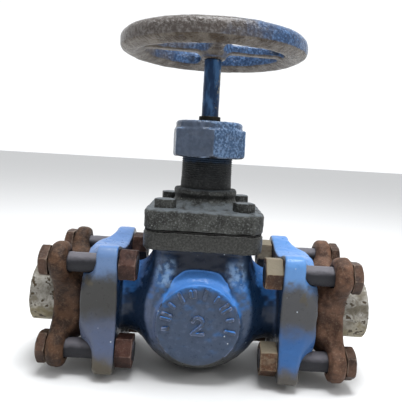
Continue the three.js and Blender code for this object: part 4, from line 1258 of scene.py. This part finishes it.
def make_world():
    """Soft white surroundings, plain where they are seen, that light the valve less from the front."""
    scene = bpy.context.scene
    scene.view_settings.view_transform = "Standard"
    world = bpy.data.worlds.new("studio")
    world.use_nodes = True
    n = Tree(world.node_tree)
    background = n.tree.nodes["Background"]
    direction = n.add("ShaderNodeSeparateXYZ")
    n.link(n.add("ShaderNodeTexCoord").outputs["Generated"], direction.inputs[0])
    behind = n.ramp(direction.outputs["Y"], 0.2, 0.75, WORLD_DIM, WORLD_BRIGHT, "LINEAR")
    above = n.ramp(direction.outputs["Z"], 0.45, 1.0, WORLD_DIM, WORLD_BRIGHT, "LINEAR")
    seen = n.add("ShaderNodeLightPath").outputs["Is Camera Ray"]
    n.link(n.math("MAXIMUM", n.math("MAXIMUM", behind, above), seen), background.inputs["Strength"])
    background.inputs["Color"].default_value = (0.97, 0.985, 1, 1)
    scene.world = world


def make_lights():
    area_light("sky_panel", (0.08, -0.12, 1.5), (0, 0, 0.2), 0.8, 26, (0.97, 0.985, 1))
    area_light("side_panel", (1.2, -0.7, 1.0), (0, 0, 0.15), 0.5, 4)


def make_camera():
    """Long-ish lens a little above the pipe, leaning with the photographer."""
    yaw, pitch, roll = -0.0019, 0.0746, 0.0586
    forward = Vector((math.sin(yaw) * math.cos(pitch), math.cos(yaw) * math.cos(pitch), -math.sin(pitch)))
    level = Vector((math.cos(yaw), -math.sin(yaw), 0))
    above = level.cross(forward)
    right = math.cos(roll) * level + math.sin(roll) * above
    top = -math.sin(roll) * level + math.cos(roll) * above
    lens = bpy.data.cameras.new("photo_camera")
    lens.sensor_width = 36
    lens.lens = 43.555
    lens.shift_x = -0.01174
    lens.shift_y = -0.04858
    camera = bpy.data.objects.new("photo_camera", lens)
    bpy.context.scene.collection.objects.link(camera)
    turn = Matrix((right, top, -forward)).transposed().to_4x4()
    camera.matrix_world = Matrix.Translation((0.00056, -0.5061, 0.2309)) @ turn
    bpy.context.scene.camera = camera


# ---- build
def build():
    make_camera()
    make_world()
    make_lights()
    make_floor()
    dress_inner_pieces()
    make_body()
    small_paint = blue_paint("small_paint", wrinkle=0.2, cranny_depth=0.4)
    make_marks(small_paint)
    iron = sooty_iron("bonnet_iron", blue_above=147)
    make_bonnet(iron)
    make_screws(sooty_iron("screw_iron"))
    make_piece("packing_nut_casting", "blue_paint", "packing_nut", packing_nut_field,
               (packing_low, packing_high), 0.9, hammered_paint("nut_paint"),
               rough=0.5, rough_sizes=(4, 1.8), seed=31)
    make_piece("gland_bush", "bronze", "gland_follower", gland_field, (gland_low, gland_high), 0.7,
               turned_metal("stained_bronze", linear(62, 60, 54), 0.5), rough=0.2, seed=35)
    make_piece("stem_rod", "bright_steel", "stem", stem_field, (stem_low, stem_high), 0.75,
               stem_paint("stem_paint"), "stem_assembly", rough=0.18, seed=41)
    make_piece("handwheel_casting", "blue_paint", "handwheel", handwheel_field, (wheel_low, wheel_high),
               0.95, wheel_paint("wheel_paint"), "stem_assembly", rough=0.45, rough_sizes=(9, 4), seed=51)
    make_piece("wheel_nut_hex", "blue_paint", "wheel_nut", wheel_nut_field, (wheel_nut_low, wheel_nut_high),
               0.5, small_paint, "stem_assembly", rough=0.2, seed=55)
    head = bolt_high.x - BOLT_HEAD_HEIGHT
    bolt_rust = rusty_iron("bolt_rust", linear(52, 38, 32), linear(84, 62, 50), linear(118, 102, 90), 0.45,
                           shank_end=head)
    zinc = galvanised("stub_zinc")
    flange = rusty_iron("inlet_flange_rust", RUST_DARK, RUST, RUST_PALE)
    nut = rusty_iron("inlet_nut_rust", linear(46, 28, 24), linear(78, 52, 44), linear(112, 92, 84), 0.5)
    make_line_end("inlet", -1, {"flange": flange, "bolt": bolt_rust, "nut": nut, "stub": zinc})
    flange = rusty_iron("outlet_flange_rust", linear(66, 46, 36), linear(104, 76, 60), linear(140, 120, 102))
    nut = rusty_iron("outlet_nut_rust", linear(62, 42, 32), linear(92, 64, 46), linear(140, 124, 104), 0.5,
                     top=linear(138, 130, 112))
    make_line_end("outlet", 1, {"flange": flange, "bolt": bolt_rust, "nut": nut, "stub": zinc})


build()
